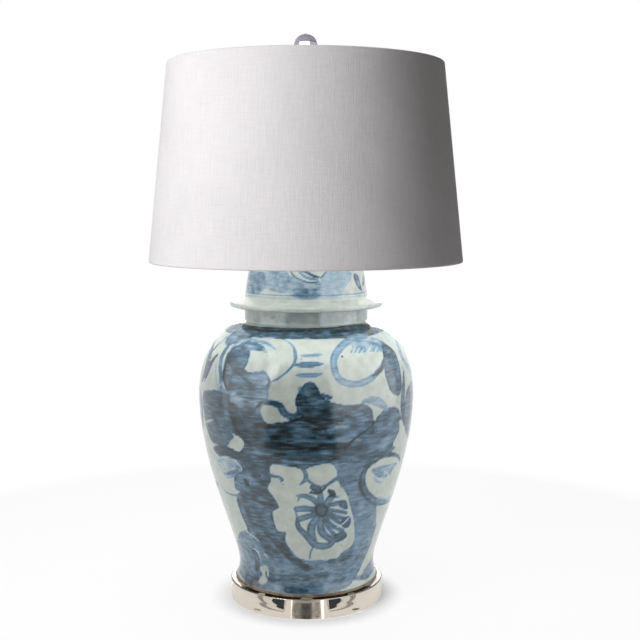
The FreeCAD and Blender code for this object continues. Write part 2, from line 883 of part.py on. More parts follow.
def build_bulb():
    """The bulb: a rolled metal cap, its insulated tip and the pear-shaped glass."""
    base = f"({CORE_TOP} + contact_height + bulb_tip_height + thread_gap)"
    radius = "(thread_radius - bulb_play)"
    inside = f"({radius} - thread_depth - thread_metal)"
    cap_top = f"({SOCKET_TOP} - {base} + thread_metal)"
    lathe(
        "bulb_cap",
        [
            ("bulb_tip_radius + bulb_play", "0"),
            *rolled_rings(f"{radius} - thread_depth", "thread_turns - 1", "thread_metal * 2"),
            (radius, f"{cap_top} - thread_pitch / 3"),
            (radius, cap_top),
            (inside, cap_top),
            (inside, "thread_metal * 4"),
            ("bulb_tip_radius + bulb_play", "thread_metal * 2"),
        ],
        base,
    )
    tip_top = "bulb_tip_height + thread_metal * 4"
    lathe(
        "bulb_tip",
        [
            ("0", "0"),
            ("bulb_tip_radius / 2", "0"),
            ("bulb_tip_radius", "bulb_tip_height / 3"),
            ("bulb_tip_radius", tip_top),
            ("0", tip_top),
        ],
        f"{base} - bulb_tip_height",
    )
    wall, centre = "bulb_glass_thickness", "(bulb_reach - bulb_radius)"
    inner = f"(bulb_radius - {wall})"
    shoulder = 0.866
    lathe(
        "bulb_glass",
        [
            (f"bulb_neck - {wall}", "0"),
            ("bulb_neck", "0"),
            ("bulb_neck", "bulb_collar", "bulb_radius * 1.5", -1),
            (f"bulb_radius * {shoulder}", f"{centre} - bulb_radius / 2", "bulb_radius", 1),
            ("bulb_radius", centre, "bulb_radius", 1),
            ("0", "bulb_reach"),
            ("0", f"bulb_reach - {wall}", inner, -1),
            (inner, centre, inner, -1),
            (f"{inner} * {shoulder}", f"{centre} - {inner} / 2", f"bulb_radius * 1.5 + {wall}", 1),
            (f"bulb_neck - {wall}", "bulb_collar"),
        ],
        f"{base} + {cap_top}",
    )


# ---------------------------------------------------------------- harp


def harp_flank():
    """The flank's radius and its centre's height, found so that flare, flank and crown are tangent."""
    half, top = value("harp_half_width"), value("harp_height")
    reach = half - value("leg_offset")
    flare, crown, start = value("harp_flare"), value("harp_crown"), value("leg_straight")
    low, high = half, 20 * half
    for _ in range(60):
        radius = (low + high) / 2
        from_leg = start + math.sqrt(2 * reach * (flare + radius) - reach**2)
        from_crown = top - crown - math.sqrt((radius - crown) ** 2 - (radius - half) ** 2)
        if from_leg > from_crown:
            high = radius
        else:
            low = radius
    return radius, from_leg


def harp_spine():
    """The bow's centre line: straight legs, outward flares, long flanks and a round crown, all tangent."""
    radius, centre_height = harp_flank()
    flare, crown = value("harp_flare"), value("harp_crown")
    leg, start, low_end = value("leg_offset"), value("leg_straight"), value("foot_length - wire_radius / 2")
    top, half = value("harp_height"), value("harp_half_width")
    sides = {}
    for side in (-1, 1):
        flare_centre = FreeCAD.Vector(side * (leg + flare), 0, start)
        flank_centre = FreeCAD.Vector(side * (half - radius), 0, centre_height)
        crown_centre = FreeCAD.Vector(0, 0, top - crown)
        out = (flank_centre - flare_centre).normalize()
        over = (crown_centre - flank_centre).normalize()
        foot, knee = FreeCAD.Vector(side * leg, 0, low_end), FreeCAD.Vector(side * leg, 0, start)
        low, high = flare_centre + out * flare, crown_centre + over * crown
        knee_middle = flare_centre + (out + FreeCAD.Vector(-side, 0, 0)).normalize() * flare
        flank_middle = flank_centre + ((low - flank_centre).normalize() + over).normalize() * radius
        sides[side] = high, [
            Part.makeLine(foot, knee),
            Part.Arc(knee, knee_middle, low).toShape(),
            Part.Arc(low, flank_middle, high).toShape(),
        ]
    (left_high, left), (right_high, right) = sides[-1], sides[1]
    crown_arc = Part.Arc(right_high, FreeCAD.Vector(0, 0, top), left_high).toShape()
    spine = doc.addObject("Part::Feature", "harp_spine")
    spine.Shape = Part.Wire(right + [crown_arc] + left[::-1])
    return spine


def build_harp():
    """The lift-off harp: a wire bow with flattened feet and a flattened, pierced crown."""
    circle = primitive("Part::Circle", "harp_section", Radius="wire_radius")
    place(circle, "foot_length - wire_radius / 2", x="leg_offset")
    wire = doc.addObject("Part::Sweep", "harp_wire")
    wire.Sections = [circle]
    wire.Spine = (harp_spine(), [])
    wire.Solid = True
    wire.Frenet = False
    feet = []
    for name, start in (("left", "-leg_offset - foot_thickness / 2"), ("right", "leg_offset - foot_thickness / 2")):
        foot = box(f"harp_foot_{name}", "foot_thickness", "tongue_width", "foot_length")
        feet.append(place(foot, x=start, y="-tongue_width / 2"))
    eyelet = cylinder("eyelet", "eyelet_radius", "eyelet_thickness", height="harp_height - eyelet_thickness / 2")
    bow = fuse("harp_whole", wire, *feet, eyelet)
    relief = "wire_radius * 2"
    hole = cylinder("eyelet_hole", "rivet_radius + rivet_play", f"{relief} * 2", height=f"harp_height - {relief}")
    above = cylinder("crown_flat", "seat_radius + swivel_gap * 5", relief, height="harp_height + eyelet_thickness / 2")
    low = f"harp_height - eyelet_thickness / 2 - {relief}"
    below = cylinder("crown_flat_below", "rivet_head + swivel_gap * 5", relief, height=low)
    pierced = cut("harp_pierced", bow, fuse("crown_cuts", hole, above, below))
    keep(place(pierced, HARP_FOOT), "harp_bow")


def build_sleeves():
    """The two sleeves that lock the harp's feet to the saddle's tongues."""
    bore = "(wire_radius + sleeve_play)"
    for name, side in (("left", "-1"), ("right", "1")):
        body = new_body(f"harp_sleeve_{name}")
        revolve(
            body,
            f"sleeve_{name}_turned",
            [
                (bore, "0"),
                (f"{bore} + sleeve_wall", "0"),
                (f"{bore} + sleeve_wall", "sleeve_length - sleeve_wall * 2"),
                (f"{bore} + sleeve_wall / 2", "sleeve_length"),
                (bore, "sleeve_length"),
            ],
        )
        keep(place(body, HARP_FOOT, x=f"{side} * leg_offset"), f"harp_sleeve_{name}")


def build_stud():
    """The swivel stud riveted through the harp's crown: rivet head, shank, seat and threaded post."""
    seat = "(rivet_head_height + eyelet_thickness + 2 * swivel_gap)"
    post = f"({seat} + seat_thickness)"
    tip = f"{post} + stud_length"
    lathe(
        "harp_stud",
        [
            ("0", "0"),
            ("rivet_head", "0"),
            ("rivet_head", "rivet_head_height"),
            ("rivet_radius", "rivet_head_height"),
            ("rivet_radius", seat),
            ("seat_radius", seat),
            ("seat_radius", post),
            ("stud_radius", post),
            ("stud_radius", f"{tip} - stud_radius / 3"),
            ("stud_radius * 2 / 3", tip),
            ("0", tip),
        ],
        f"{HARP_TOP} - eyelet_thickness / 2 - swivel_gap - rivet_head_height",
    )


# ---------------------------------------------------------------- shade


def wall_at(height, inset="0"):
    """The radius of the shade's slanting wall at a height above its bottom edge, less an inset."""
    return f"shade_bottom_radius - (shade_bottom_radius - shade_top_radius) / shade_height * ({height}) - ({inset})"


def build_fabric():
    """The cloth: a slanting wall whose edges roll over the rings and turn back inside, notched for the arms."""
    cloth, bend, top = "cloth_thickness", "hem_round", "shade_height"
    inner = f"{HEM_WIDTH} - {cloth}"
    high = f"{top} - {cloth}"
    body = new_body("shade_fabric")
    revolve(
        body,
        "cloth_turned",
        [
            (wall_at(bend, HEM_WIDTH), bend, bend, 1),
            (wall_at("0", f"{HEM_WIDTH} - {bend}"), "0"),
            (wall_at("0", bend), "0", bend, 1),
            (wall_at(bend), bend),
            (wall_at(f"{top} - {bend}"), f"{top} - {bend}", bend, 1),
            (wall_at(top, bend), top),
            (wall_at(top, f"{HEM_WIDTH} - {bend}"), top, bend, 1),
            (wall_at(f"{top} - {bend}", HEM_WIDTH), f"{top} - {bend}"),
            (wall_at(f"{top} - hem_height", HEM_WIDTH), f"{top} - hem_height"),
            (wall_at(f"{top} - hem_height", inner), f"{top} - hem_height"),
            (wall_at(f"{top} - {bend}", inner), f"{top} - {bend}", f"{bend} - {cloth}", -1),
            (wall_at(high, f"{HEM_WIDTH} - {bend}"), high),
            (wall_at(high, bend), high, f"{bend} - {cloth}", -1),
            (wall_at(f"{top} - {bend}", cloth), f"{top} - {bend}"),
            (wall_at(bend, cloth), bend, f"{bend} - {cloth}", -1),
            (wall_at(cloth, bend), cloth),
            (wall_at(cloth, f"{HEM_WIDTH} - {bend}"), cloth, f"{bend} - {cloth}", -1),
            (wall_at(bend, inner), bend),
            (wall_at("hem_height", inner), "hem_height"),
            (wall_at("hem_height", HEM_WIDTH), "hem_height"),
        ],
    )
    length, width = f"{HEM_WIDTH} * 2", "(arm_wire + notch_play) * 2"
    start = f"({TOP_RING_RADIUS} - ring_wire / 4 - {length})"
    notches = []
    for turn in ARM_TURNS:
        notch = box(f"notch_{turn}", length, width, "hem_height")
        notch.Placement = FreeCAD.Placement(FreeCAD.Vector(), FreeCAD.Rotation(UP, turn))
        place(
            notch,
            f"shade_height - {EDGE_TO_RING} - hem_height",
            x=f"{start} * cos({turn}) + {width} / 2 * sin({turn})",
            y=f"{start} * sin({turn}) - {width} / 2 * cos({turn})",
        )
        notches.append(notch)
    cloth_cut = cut("cloth_notched", body, fuse("notches", *notches))
    keep(place(cloth_cut, SHADE_BOTTOM), "shade_fabric")


def build_liner():
    """The stiff sheet that the cloth is laminated on."""
    edge = "hem_round"
    outer = "cloth_thickness + glue_gap"
    inner = f"{outer} + liner_thickness"
    top = f"shade_height - {edge}"
    lathe(
        "shade_liner",
        [
            (wall_at(edge, inner), edge),
            (wall_at(edge, outer), edge),
            (wall_at(top, outer), top),
            (wall_at(top, inner), top),
        ],
        SHADE_BOTTOM,
    )


def build_rings():
    """The wire ring in the bottom hem, and the spider: the top ring, three arms and the fitter plate, welded."""
    ring = primitive("Part::Torus", "bottom_ring", Radius1=BOTTOM_RING_RADIUS, Radius2="ring_wire")
    keep(place(ring, f"{SHADE_BOTTOM} + {EDGE_TO_RING}"), "shade_bottom_ring")

    rise = f"(shade_drop + fitter_thickness / 2 - {EDGE_TO_RING})"
    low = "-fitter_thickness / 2"
    disc = cylinder("fitter_disc", "fitter_radius", "fitter_thickness", height=low)
    plate = cut("fitter_plate", disc, cylinder("fitter_bore", "fitter_hole", "fitter_thickness", height=low))
    rim = primitive("Part::Torus", "top_ring", Radius1=TOP_RING_RADIUS, Radius2="ring_wire")
    wires = [plate, place(rim, rise)]
    start, end = "(fitter_radius - arm_wire)", f"({TOP_RING_RADIUS} - {rise})"
    for turn in ARM_TURNS:
        outward = FreeCAD.Rotation(UP, turn).multVec(RIGHT)
        across = {"x": f"{start} * cos({turn})", "y": f"{start} * sin({turn})"}
        wires.append(cylinder(f"arm_{turn}", "arm_wire", f"{end} - {start}", along=outward, **across))
        bend = primitive("Part::Torus", f"arm_bend_{turn}", Radius1=rise, Radius2="arm_wire", Angle3="90")
        turned = FreeCAD.Rotation(-UP, outward, outward.cross(UP), "ZXY")
        bend.Placement = FreeCAD.Placement(FreeCAD.Vector(), turned)
        wires.append(place(bend, rise, x=f"{end} * cos({turn})", y=f"{end} * sin({turn})"))
    keep(place(fuse("spider", *wires), f"{FITTER_BOTTOM} + fitter_thickness / 2"), "shade_spider")


def build_finial():
    """The turned finial base, screwed on the stud, and the clear ball seated in its cup."""
    bore = "(stud_radius + finial_thread_gap)"
    depth = "stud_length - fitter_thickness + stud_radius / 3"
    recess = "sqrt((ball_radius + ball_gap)^2 - (ball_radius - ball_seat)^2)"
    lathe(
        "finial_base",
        [
            (bore, "0"),
            ("finial_foot", "0"),
            ("finial_foot", "finial_height * 0.1", "finial_height * 0.5", -1),
            ("finial_neck", "finial_height * 0.45", "finial_height", 1),
            ("finial_neck", "finial_height * 0.6", "finial_height * 0.4", -1),
            ("finial_cup", "finial_height * 0.85"),
            ("finial_cup", "finial_height"),
            (recess, "finial_height", "ball_radius + ball_gap", -1),
            ("0", "finial_height - ball_seat - ball_gap"),
            ("0", depth),
            (bore, depth),
        ],
        FITTER_TOP,
    )
    ball = primitive("Part::Sphere", "clear_ball", Radius="ball_radius")
    keep(place(ball, BALL_CENTRE), "finial_ball")


def faults():
    """What is wrong with the document: failed objects, and sub-parts with no valid solid."""
    found = [f"{part.Name}: {state}" for part in doc.Objects for state in part.State if state in ("Invalid", "Error")]
    for part in parts:
        if part.Shape.isNull() or not part.Shape.isValid() or not part.Shape.Solids:
            found.append(f"{part.Label}: no valid solid")
    return found


def main():
    """Builds every sub-part, checks it and writes its file."""
    build_base()
    build_pipe()
    build_jar()
    build_bushing()
    build_lid()
    build_cap_and_spacer()
    build_saddle()
    build_socket()
    build_switch()
    build_bulb()
    build_harp()
    build_sleeves()
    build_stud()
    build_fabric()
    build_liner()
    build_rings()
    build_finial()
    doc.recompute()
    problems = faults()
    if problems:
        raise RuntimeError("; ".join(problems))
    os.makedirs("parts", exist_ok=True)
    for part in parts:
        part.Shape.exportStep(f"parts/{part.Label}.step")
        print(f"{part.Label}: {len(part.Shape.Solids)} solid, {part.Shape.Volume:.1f} mm3")


main()
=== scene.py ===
"""Ginger jar table lamp: the painted porcelain, the cloth shade, the clear base and ball, and the studio.

Metres, in the row frame: +Z up along the pipe, -Y to the front. Sizes in the classes are millimetres, as a
maker writes them, and azimuths are degrees from the front, positive to the right.
"""
import logging
import math
import random
from collections.abc import Iterator
from dataclasses import dataclass, field, replace
from enum import Enum

import bmesh
import bpy
import numpy as np
from bmesh.types import BMesh, BMVert
from bpy.types import Mesh, Node, NodeSocket, NodeTree, Object
from mathutils import Matrix, Vector


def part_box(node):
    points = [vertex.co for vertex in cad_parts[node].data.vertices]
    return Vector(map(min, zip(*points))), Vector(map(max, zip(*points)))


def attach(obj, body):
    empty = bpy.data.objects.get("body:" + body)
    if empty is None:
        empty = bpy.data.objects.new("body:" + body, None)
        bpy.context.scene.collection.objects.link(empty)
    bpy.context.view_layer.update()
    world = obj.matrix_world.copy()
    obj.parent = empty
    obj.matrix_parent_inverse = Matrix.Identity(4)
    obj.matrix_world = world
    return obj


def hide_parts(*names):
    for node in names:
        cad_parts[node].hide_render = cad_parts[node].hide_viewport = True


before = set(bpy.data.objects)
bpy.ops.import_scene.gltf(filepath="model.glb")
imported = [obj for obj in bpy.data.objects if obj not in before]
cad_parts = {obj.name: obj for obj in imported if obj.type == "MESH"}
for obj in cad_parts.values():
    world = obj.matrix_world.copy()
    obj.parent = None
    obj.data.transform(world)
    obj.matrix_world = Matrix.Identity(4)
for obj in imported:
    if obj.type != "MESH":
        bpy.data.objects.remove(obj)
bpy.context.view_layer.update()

MM = 0.001
Colour = tuple[float, float, float, float]
Point = tuple[float, float]
Outline = list[Point]
log = logging.getLogger("lamp")


# ---- node benches


class Blend(Enum):
    """The ways in which one colour is laid over another."""

    MIX = "MIX"
    MULTIPLY = "MULTIPLY"


class Bench:
    """A node tree with short ways to add and join nodes."""

    def __init__(self, tree: NodeTree) -> None:
        """Takes the tree that the nodes go in.

        Args:
            tree: A material's or a group's node tree.
        """
        self.tree = tree

    def add(self, kind: str, **settings: object) -> Node:
        """Adds a node.

        Args:
            kind: The node's type, less its ShaderNode prefix.
            settings: Attributes to set on it.

        Returns:
            The new node.
        """
        node = self.tree.nodes.new(f"ShaderNode{kind}")
        for name, setting in settings.items():
            setattr(node, name, setting)
        return node

    def feed(self, socket: NodeSocket, source: object) -> None:
        """Links a socket to another, or sets it to a plain value.

        Args:
            socket: The input.
            source: An output's socket, a number or a colour.
        """
        if isinstance(source, NodeSocket):
            self.tree.links.new(source, socket)
        else:
            socket.default_value = source

    def math(self, operation: str, first: object, second: object, clamp: bool = False) -> NodeSocket:
        """One sum of two values.

        Args:
            operation: The Math node's operation.
            first: A socket or a number.
            second: A socket or a number.
            clamp: Whether the result is kept between 0 and 1.

        Returns:
            The result's socket.
        """
        node = self.add("Math", operation=operation, use_clamp=clamp)
        self.feed(node.inputs[0], first)
        self.feed(node.inputs[1], second)
        return node.outputs[0]

    def plus(self, first: object, second: object, clamp: bool = False) -> NodeSocket:
        """Two values added."""
        return self.math("ADD", first, second, clamp)

    def times(self, first: object, second: object) -> NodeSocket:
        """Two values multiplied."""
        return self.math("MULTIPLY", first, second)

    def band(
        self, value: object, low: float, high: float, start: float = 0.0, end: float = 1.0
    ) -> NodeSocket:
        """A smooth step as a value goes from low to high.

        Args:
            value: The value's socket.
            low: Where the step begins.
            high: Where it ends.
            start: The result up to low.
            end: The result from high on.

        Returns:
            The result's socket.
        """
        node = self.add("MapRange", interpolation_type="SMOOTHSTEP")
        for socket, source in zip(node.inputs, (value, low, high, start, end)):
            self.feed(socket, source)
        return node.outputs[0]

    def mix(self, amount: object, under: object, over: object, blend: Blend = Blend.MIX) -> NodeSocket:
        """Lays one colour over another.

        Args:
            amount: How much of the upper colour shows, from 0 to 1.
            under: The lower colour.
            over: The upper colour.
            blend: How the two are mixed.

        Returns:
            The mixed colour's socket.
        """
        node = self.add("Mix", data_type="RGBA", blend_type=blend.value)
        self.feed(node.inputs[0], amount)
        self.feed(node.inputs[6], under)
        self.feed(node.inputs[7], over)
        return node.outputs[2]

    def stretched(self, coordinates: object, scale: tuple[float, float, float]) -> NodeSocket:
        """Coordinates scaled along each axis.

        Args:
            coordinates: Their socket.
            scale: The factor along each axis.

        Returns:
            The scaled coordinates' socket.
        """
        node = self.add("Mapping")
        self.feed(node.inputs["Vector"], coordinates)
        node.inputs["Scale"].default_value = scale
        return node.outputs["Vector"]

    def noise(
        self, coordinates: object, scale: object, detail: float = 2.0, roughness: float = 0.5
    ) -> NodeSocket:
        """Cloudy noise about 0.5.

        Args:
            coordinates: Where it is read.
            scale: Clouds to the metre.
            detail: Octaves.
            roughness: How strong the fine octaves are.

        Returns:
            The value's socket.
        """
        node = self.add("TexNoise")
        sources = {"Vector": coordinates, "Scale": scale, "Detail": detail, "Roughness": roughness}
        for name, source in sources.items():
            self.feed(node.inputs[name], source)
        return node.outputs["Fac"]

    def bump(self, height: object, distance: float) -> NodeSocket:
        """A surface normal pushed about by a height.

        Args:
            height: The height's socket.
            distance: How high a height of 1 is, in metres.

        Returns:
            The normal's socket.
        """
        node = self.add("Bump")
        self.feed(node.inputs["Height"], height)
        node.inputs["Distance"].default_value = distance
        node.inputs["Strength"].default_value = 1.0
        return node.outputs["Normal"]

    def seen(self) -> NodeSocket:
        """1 for a ray that shows the surface, be it straight, through a clear piece or in a reflection."""
        rays = self.add("LightPath").outputs
        through = self.math("MAXIMUM", rays["Is Camera Ray"], rays["Is Transmission Ray"])
        return self.math("MAXIMUM", through, rays["Is Glossy Ray"])


def clean_bench(owner: bpy.types.ID) -> Bench:
    """A bench on the emptied node tree of a material or a world.

    Args:
        owner: The material or world.

    Returns:
        The bench.
    """
    owner.use_nodes = True
    owner.node_tree.nodes.clear()
    return Bench(owner.node_tree)


def srgb(red: int, green: int, blue: int) -> Colour:
    """A colour as it is seen, from 0 to 255 each, in the linear values that a shader takes."""
    linear = [((c / 255 + 0.055) / 1.055) ** 2.4 if c > 10 else c / 255 / 12.92 for c in (red, green, blue)]
    return (*linear, 1.0)


# ---- shared effects

FLOAT = "NodeSocketFloat"
VECTOR = ("Vector", "NodeSocketVector", 0.0)


@dataclass(frozen=True)
class Effect:
    """A shader node group that more than one finish uses, built once."""

    name: str
    inputs: tuple[tuple[str, str, float], ...]
    outputs: tuple[tuple[str, str], ...]

    def group(self) -> NodeTree:
        """The group, made the first time that it is asked for."""
        tree = bpy.data.node_groups.get(self.name)
        if tree is None:
            tree = bpy.data.node_groups.new(self.name, "ShaderNodeTree")
            for name, kind, start in self.inputs:
                socket = tree.interface.new_socket(name, in_out="INPUT", socket_type=kind)
                if kind == FLOAT:
                    socket.default_value = start
            for name, kind in self.outputs:
                tree.interface.new_socket(name, in_out="OUTPUT", socket_type=kind)
            bench = Bench(tree)
            self.wire(bench, bench.tree.nodes.new("NodeGroupInput"), bench.tree.nodes.new("NodeGroupOutput"))
        return tree

    def wire(self, bench: Bench, inside: Node, outside: Node) -> None:
        """Joins the group's nodes; each effect has its own.

        Args:
            bench: The group's bench.
            inside: The node that holds the group's inputs.
            outside: The node that takes its outputs.
        """
        raise NotImplementedError

    def place(self, bench: Bench, **sources: object) -> Node:
        """Puts the group in a material.

        Args:
            bench: The material's bench.
            sources: A socket or a number for each input, by name, with _ for a space.

        Returns:
            The group's node.
        """
        node = bench.add("Group")
        node.node_tree = self.group()
        for name, source in sources.items():
            bench.feed(node.inputs[name.replace("_", " ")], source)
        return node


class Grain(Effect):
    """Two sizes of cloudy variation: a broad one that tints a surface and a fine one that roughens it."""

    def wire(self, bench: Bench, inside: Node, outside: Node) -> None:
        """Joins the two noises."""
        place, scale = inside.outputs["Vector"], inside.outputs["Scale"]
        bench.feed(outside.inputs["Broad"], bench.noise(place, scale, 3.0, 0.55))
        bench.feed(outside.inputs["Fine"], bench.noise(place, bench.times(scale, 9.0), 4.0, 0.6))


class Scratches(Effect):
    """Long fine lines along X and Z, as brushing, wiping and handling leave them."""

    def wire(self, bench: Bench, inside: Node, outside: Node) -> None:
        """Joins a noise stretched round the piece and one stretched along it."""
        place, scale = inside.outputs["Vector"], inside.outputs["Scale"]
        around = bench.noise(bench.stretched(place, (1.0, 1.0, 26.0)), scale, 2.0, 0.6)
        along = bench.noise(bench.stretched(place, (14.0, 14.0, 1.0)), scale, 2.0, 0.6)
        bench.feed(outside.inputs["Around"], around)
        bench.feed(outside.inputs["Along"], along)


class Specks(Effect):
    """Small scattered dots, such as iron spots in a glaze or dust; no two are the same size."""

    def wire(self, bench: Bench, inside: Node, outside: Node) -> None:
        """Joins a cell pattern whose cells each hold one dot or none."""
        place, scale = inside.outputs["Vector"], inside.outputs["Scale"]
        cells = bench.add("TexVoronoi")
        bench.feed(cells.inputs["Vector"], place)
        bench.feed(cells.inputs["Scale"], scale)
        lots = bench.add("SeparateColor")
        bench.feed(lots.inputs[0], cells.outputs["Color"])
        chosen = bench.math("LESS_THAN", lots.outputs[0], inside.outputs["Share"])
        size = bench.times(bench.plus(lots.outputs[1], 0.35), inside.outputs["Size"])
        inner = bench.math("DIVIDE", cells.outputs["Distance"], size)
        bench.feed(outside.inputs["Mask"], bench.times(chosen, bench.band(inner, 0.6, 1.0, 1.0, 0.0)))


GRAIN = Grain("grain", (VECTOR, ("Scale", FLOAT, 40.0)), (("Broad", FLOAT), ("Fine", FLOAT)))
SCRATCHES = Scratches("scratches", (VECTOR, ("Scale", FLOAT, 60.0)), (("Around", FLOAT), ("Along", FLOAT)))
SPECKS = Specks(
    "specks",
    (VECTOR, ("Scale", FLOAT, 90.0), ("Share", FLOAT, 0.2), ("Size", FLOAT, 0.2)),
    (("Mask", FLOAT),),
)


# ---- finishes


@dataclass(frozen=True)
class Finish:
    """What a surface is made of: a name, its colour and how rough it is."""

    name: str
    colour: Colour
    roughness: float = 0.5

    def material(self) -> bpy.types.Material:
        """The material, made the first time that it is asked for."""
        made = bpy.data.materials.get(f"{self.name}_finish")
        if made is None:
            made = bpy.data.materials.new(f"{self.name}_finish")
            bench = clean_bench(made)
            surface = bench.add("BsdfPrincipled")
            bench.feed(bench.add("OutputMaterial").inputs["Surface"], surface.outputs[0])
            surface.inputs["Base Color"].default_value = self.colour
            surface.inputs["Roughness"].default_value = self.roughness
            self.dress(bench, surface, bench.add("TexCoord").outputs["Object"])
        return made

    def dress(self, bench: Bench, surface: Node, place: NodeSocket) -> None:
        """Adds the finish's own detail.

        Args:
            bench: The material's bench.
            surface: Its Principled shader.
            place: Object coordinates.
        """
        raise NotImplementedError


@dataclass(frozen=True)
class Metal(Finish):
    """A plated, brushed or rolled metal, with the lines of its making and a little tarnish."""

    brushed: float = 0.5
    tarnish: Colour = (0.2, 0.17, 0.13, 1.0)
    grain_scale: float = 160.0

    def dress(self, bench: Bench, surface: Node, place: NodeSocket) -> None:
        """Streaks and clouds in colour, roughness and height."""
        surface.inputs["Metallic"].default_value = 1.0
        grain = GRAIN.place(bench, Vector=place, Scale=self.grain_scale)
        lines = SCRATCHES.place(bench, Vector=place, Scale=self.grain_scale * 1.6)
        dull = bench.band(grain.outputs["Broad"], 0.5, 0.78, 0.0, 0.35)
        bench.feed(surface.inputs["Base Color"], bench.mix(dull, self.colour, self.tarnish))
        dullest = self.roughness + 0.22 * self.brushed
        streak = bench.band(lines.outputs["Around"], 0.3, 0.7, self.roughness, dullest)
        worn = bench.times(grain.outputs["Fine"], 0.1)
        bench.feed(surface.inputs["Roughness"], bench.plus(streak, worn))
        height = bench.plus(bench.times(lines.outputs["Around"], self.brushed), grain.outputs["Fine"])
        bench.feed(surface.inputs["Normal"], bench.bump(height, 0.00003))


@dataclass(frozen=True)
class Moulding(Finish):
    """Moulded plastic, rubber or fibre: an even colour with a fine skin and handling marks."""

    skin: float = 0.00005
    specular: float = 0.5

    def dress(self, bench: Bench, surface: Node, place: NodeSocket) -> None:
        """A faint mottle, a fine skin and rubbed patches."""
        surface.inputs["Specular IOR Level"].default_value = self.specular
        grain = GRAIN.place(bench, Vector=place, Scale=120.0)
        lines = SCRATCHES.place(bench, Vector=place, Scale=140.0)
        shade = bench.band(grain.outputs["Broad"], 0.3, 0.7, 0.0, 0.18)
        bench.feed(surface.inputs["Base Color"], bench.mix(shade, self.colour, (0.35, 0.33, 0.31, 1.0)))
        rubbed = bench.band(lines.outputs["Along"], 0.55, 0.75, self.roughness, self.roughness * 0.7)
        bench.feed(surface.inputs["Roughness"], rubbed)
        bench.feed(surface.inputs["Normal"], bench.bump(grain.outputs["Fine"], self.skin))


@dataclass(frozen=True)
class Clear(Finish):
    """Clear acrylic, crystal or rubber."""

    ior: float = 1.49
    ripple: float = 0.000004
    clarity: float = 1.0

    def dress(self, bench: Bench, surface: Node, place: NodeSocket) -> None:
        """Faint polishing marks over a transmitting body."""
        surface.inputs["Transmission Weight"].default_value = self.clarity
        surface.inputs["IOR"].default_value = self.ior
        grain = GRAIN.place(bench, Vector=place, Scale=30.0)
        lines = SCRATCHES.place(bench, Vector=place, Scale=90.0)
        tint = bench.band(grain.outputs["Broad"], 0.35, 0.7, 0.0, 0.12)
        bench.feed(surface.inputs["Base Color"], bench.mix(tint, self.colour, (0.9, 0.88, 0.84, 1.0)))
        marks = bench.band(lines.outputs["Around"], 0.66, 0.78, self.roughness, self.roughness + 0.04)
        bench.feed(surface.inputs["Roughness"], marks)
        bench.feed(surface.inputs["Normal"], bench.bump(grain.outputs["Broad"], self.ripple))


@dataclass(frozen=True)
class Cloth(Finish):
    """Off-white laminated shade cloth, on the piece's own map in metres.

    Attributes:
        thread: How far apart the threads are.
        lap: Where round the shade the glued lap is.
        shade: The darker colour of the slubs, of the painted shade between the threads and of the painted
            shadow line along the lap.
    """

    thread: float = 0.00042
    lap: float = 0.66
    shade: Colour = (0.62, 0.6, 0.6, 1.0)

    def dress(self, bench: Bench, surface: Node, place: NodeSocket) -> None:
        """Threads both ways, slubs along and across, a soft nap, painted shade between the threads and a
        painted shadow line along the lap's edge.
        """
        cloth = bench.add("UVMap", uv_map="cloth").outputs["UV"]
        warp = bench.add("TexWave", wave_type="BANDS", bands_direction="X", wave_profile="SIN")
        weft = bench.add("TexWave", wave_type="BANDS", bands_direction="Y", wave_profile="SIN")
        for threads in (warp, weft):
            bench.feed(threads.inputs["Vector"], cloth)
            threads.inputs["Scale"].default_value = math.pi / self.thread / 10
            threads.inputs["Distortion"].default_value = 0.6
            threads.inputs["Detail Scale"].default_value = 2.0
        woven = bench.math("MAXIMUM", warp.outputs["Fac"], weft.outputs["Fac"])
        slub_down = bench.noise(bench.stretched(cloth, (900.0, 26.0, 1.0)), 1.0, 3.0, 0.6)
        slub_round = bench.noise(bench.stretched(cloth, (30.0, 800.0, 1.0)), 1.0, 3.0, 0.6)
        clouds = bench.noise(cloth, 9.0, 2.0, 0.5)
        slubs = bench.plus(bench.band(slub_down, 0.35, 0.7), bench.band(slub_round, 0.4, 0.75, 0.0, 0.7))
        # painted shade: the gaps between the threads are darkened
        depth = bench.times(bench.math("SUBTRACT", 1.0, woven), 0.5)
        dark = bench.plus(bench.times(slubs, 0.22), bench.times(depth, 0.3))
        dark = bench.plus(dark, bench.band(clouds, 0.4, 0.65, 0.0, 0.1), clamp=True)
        split = bench.add("SeparateXYZ")
        bench.feed(split.inputs[0], cloth)
        lapped = bench.band(split.outputs[0], self.lap - 0.0003, self.lap + 0.0003)
        # painted shadow: a dark line along the lap's edge, where its step would shade the cloth
        lap_shadow_line = bench.math("COMPARE", split.outputs[0], self.lap)
        lap_shadow_line.node.inputs[2].default_value = 0.0007
        dark = bench.plus(dark, bench.times(lap_shadow_line, 0.5), clamp=True)
        bench.feed(surface.inputs["Base Color"], bench.mix(dark, self.colour, self.shade))
        surface.inputs["Sheen Weight"].default_value = 0.05
        surface.inputs["Sheen Roughness"].default_value = 0.5
        surface.inputs["Specular IOR Level"].default_value = 0.08
        smoother = self.roughness - 0.14
        bench.feed(surface.inputs["Roughness"], bench.band(slubs, 0.0, 1.6, self.roughness, smoother))
        height = bench.plus(bench.times(slubs, 0.8), woven)
        height = bench.plus(height, bench.times(lapped, 4.0))
        bench.feed(surface.inputs["Normal"], bench.bump(height, 0.00012))


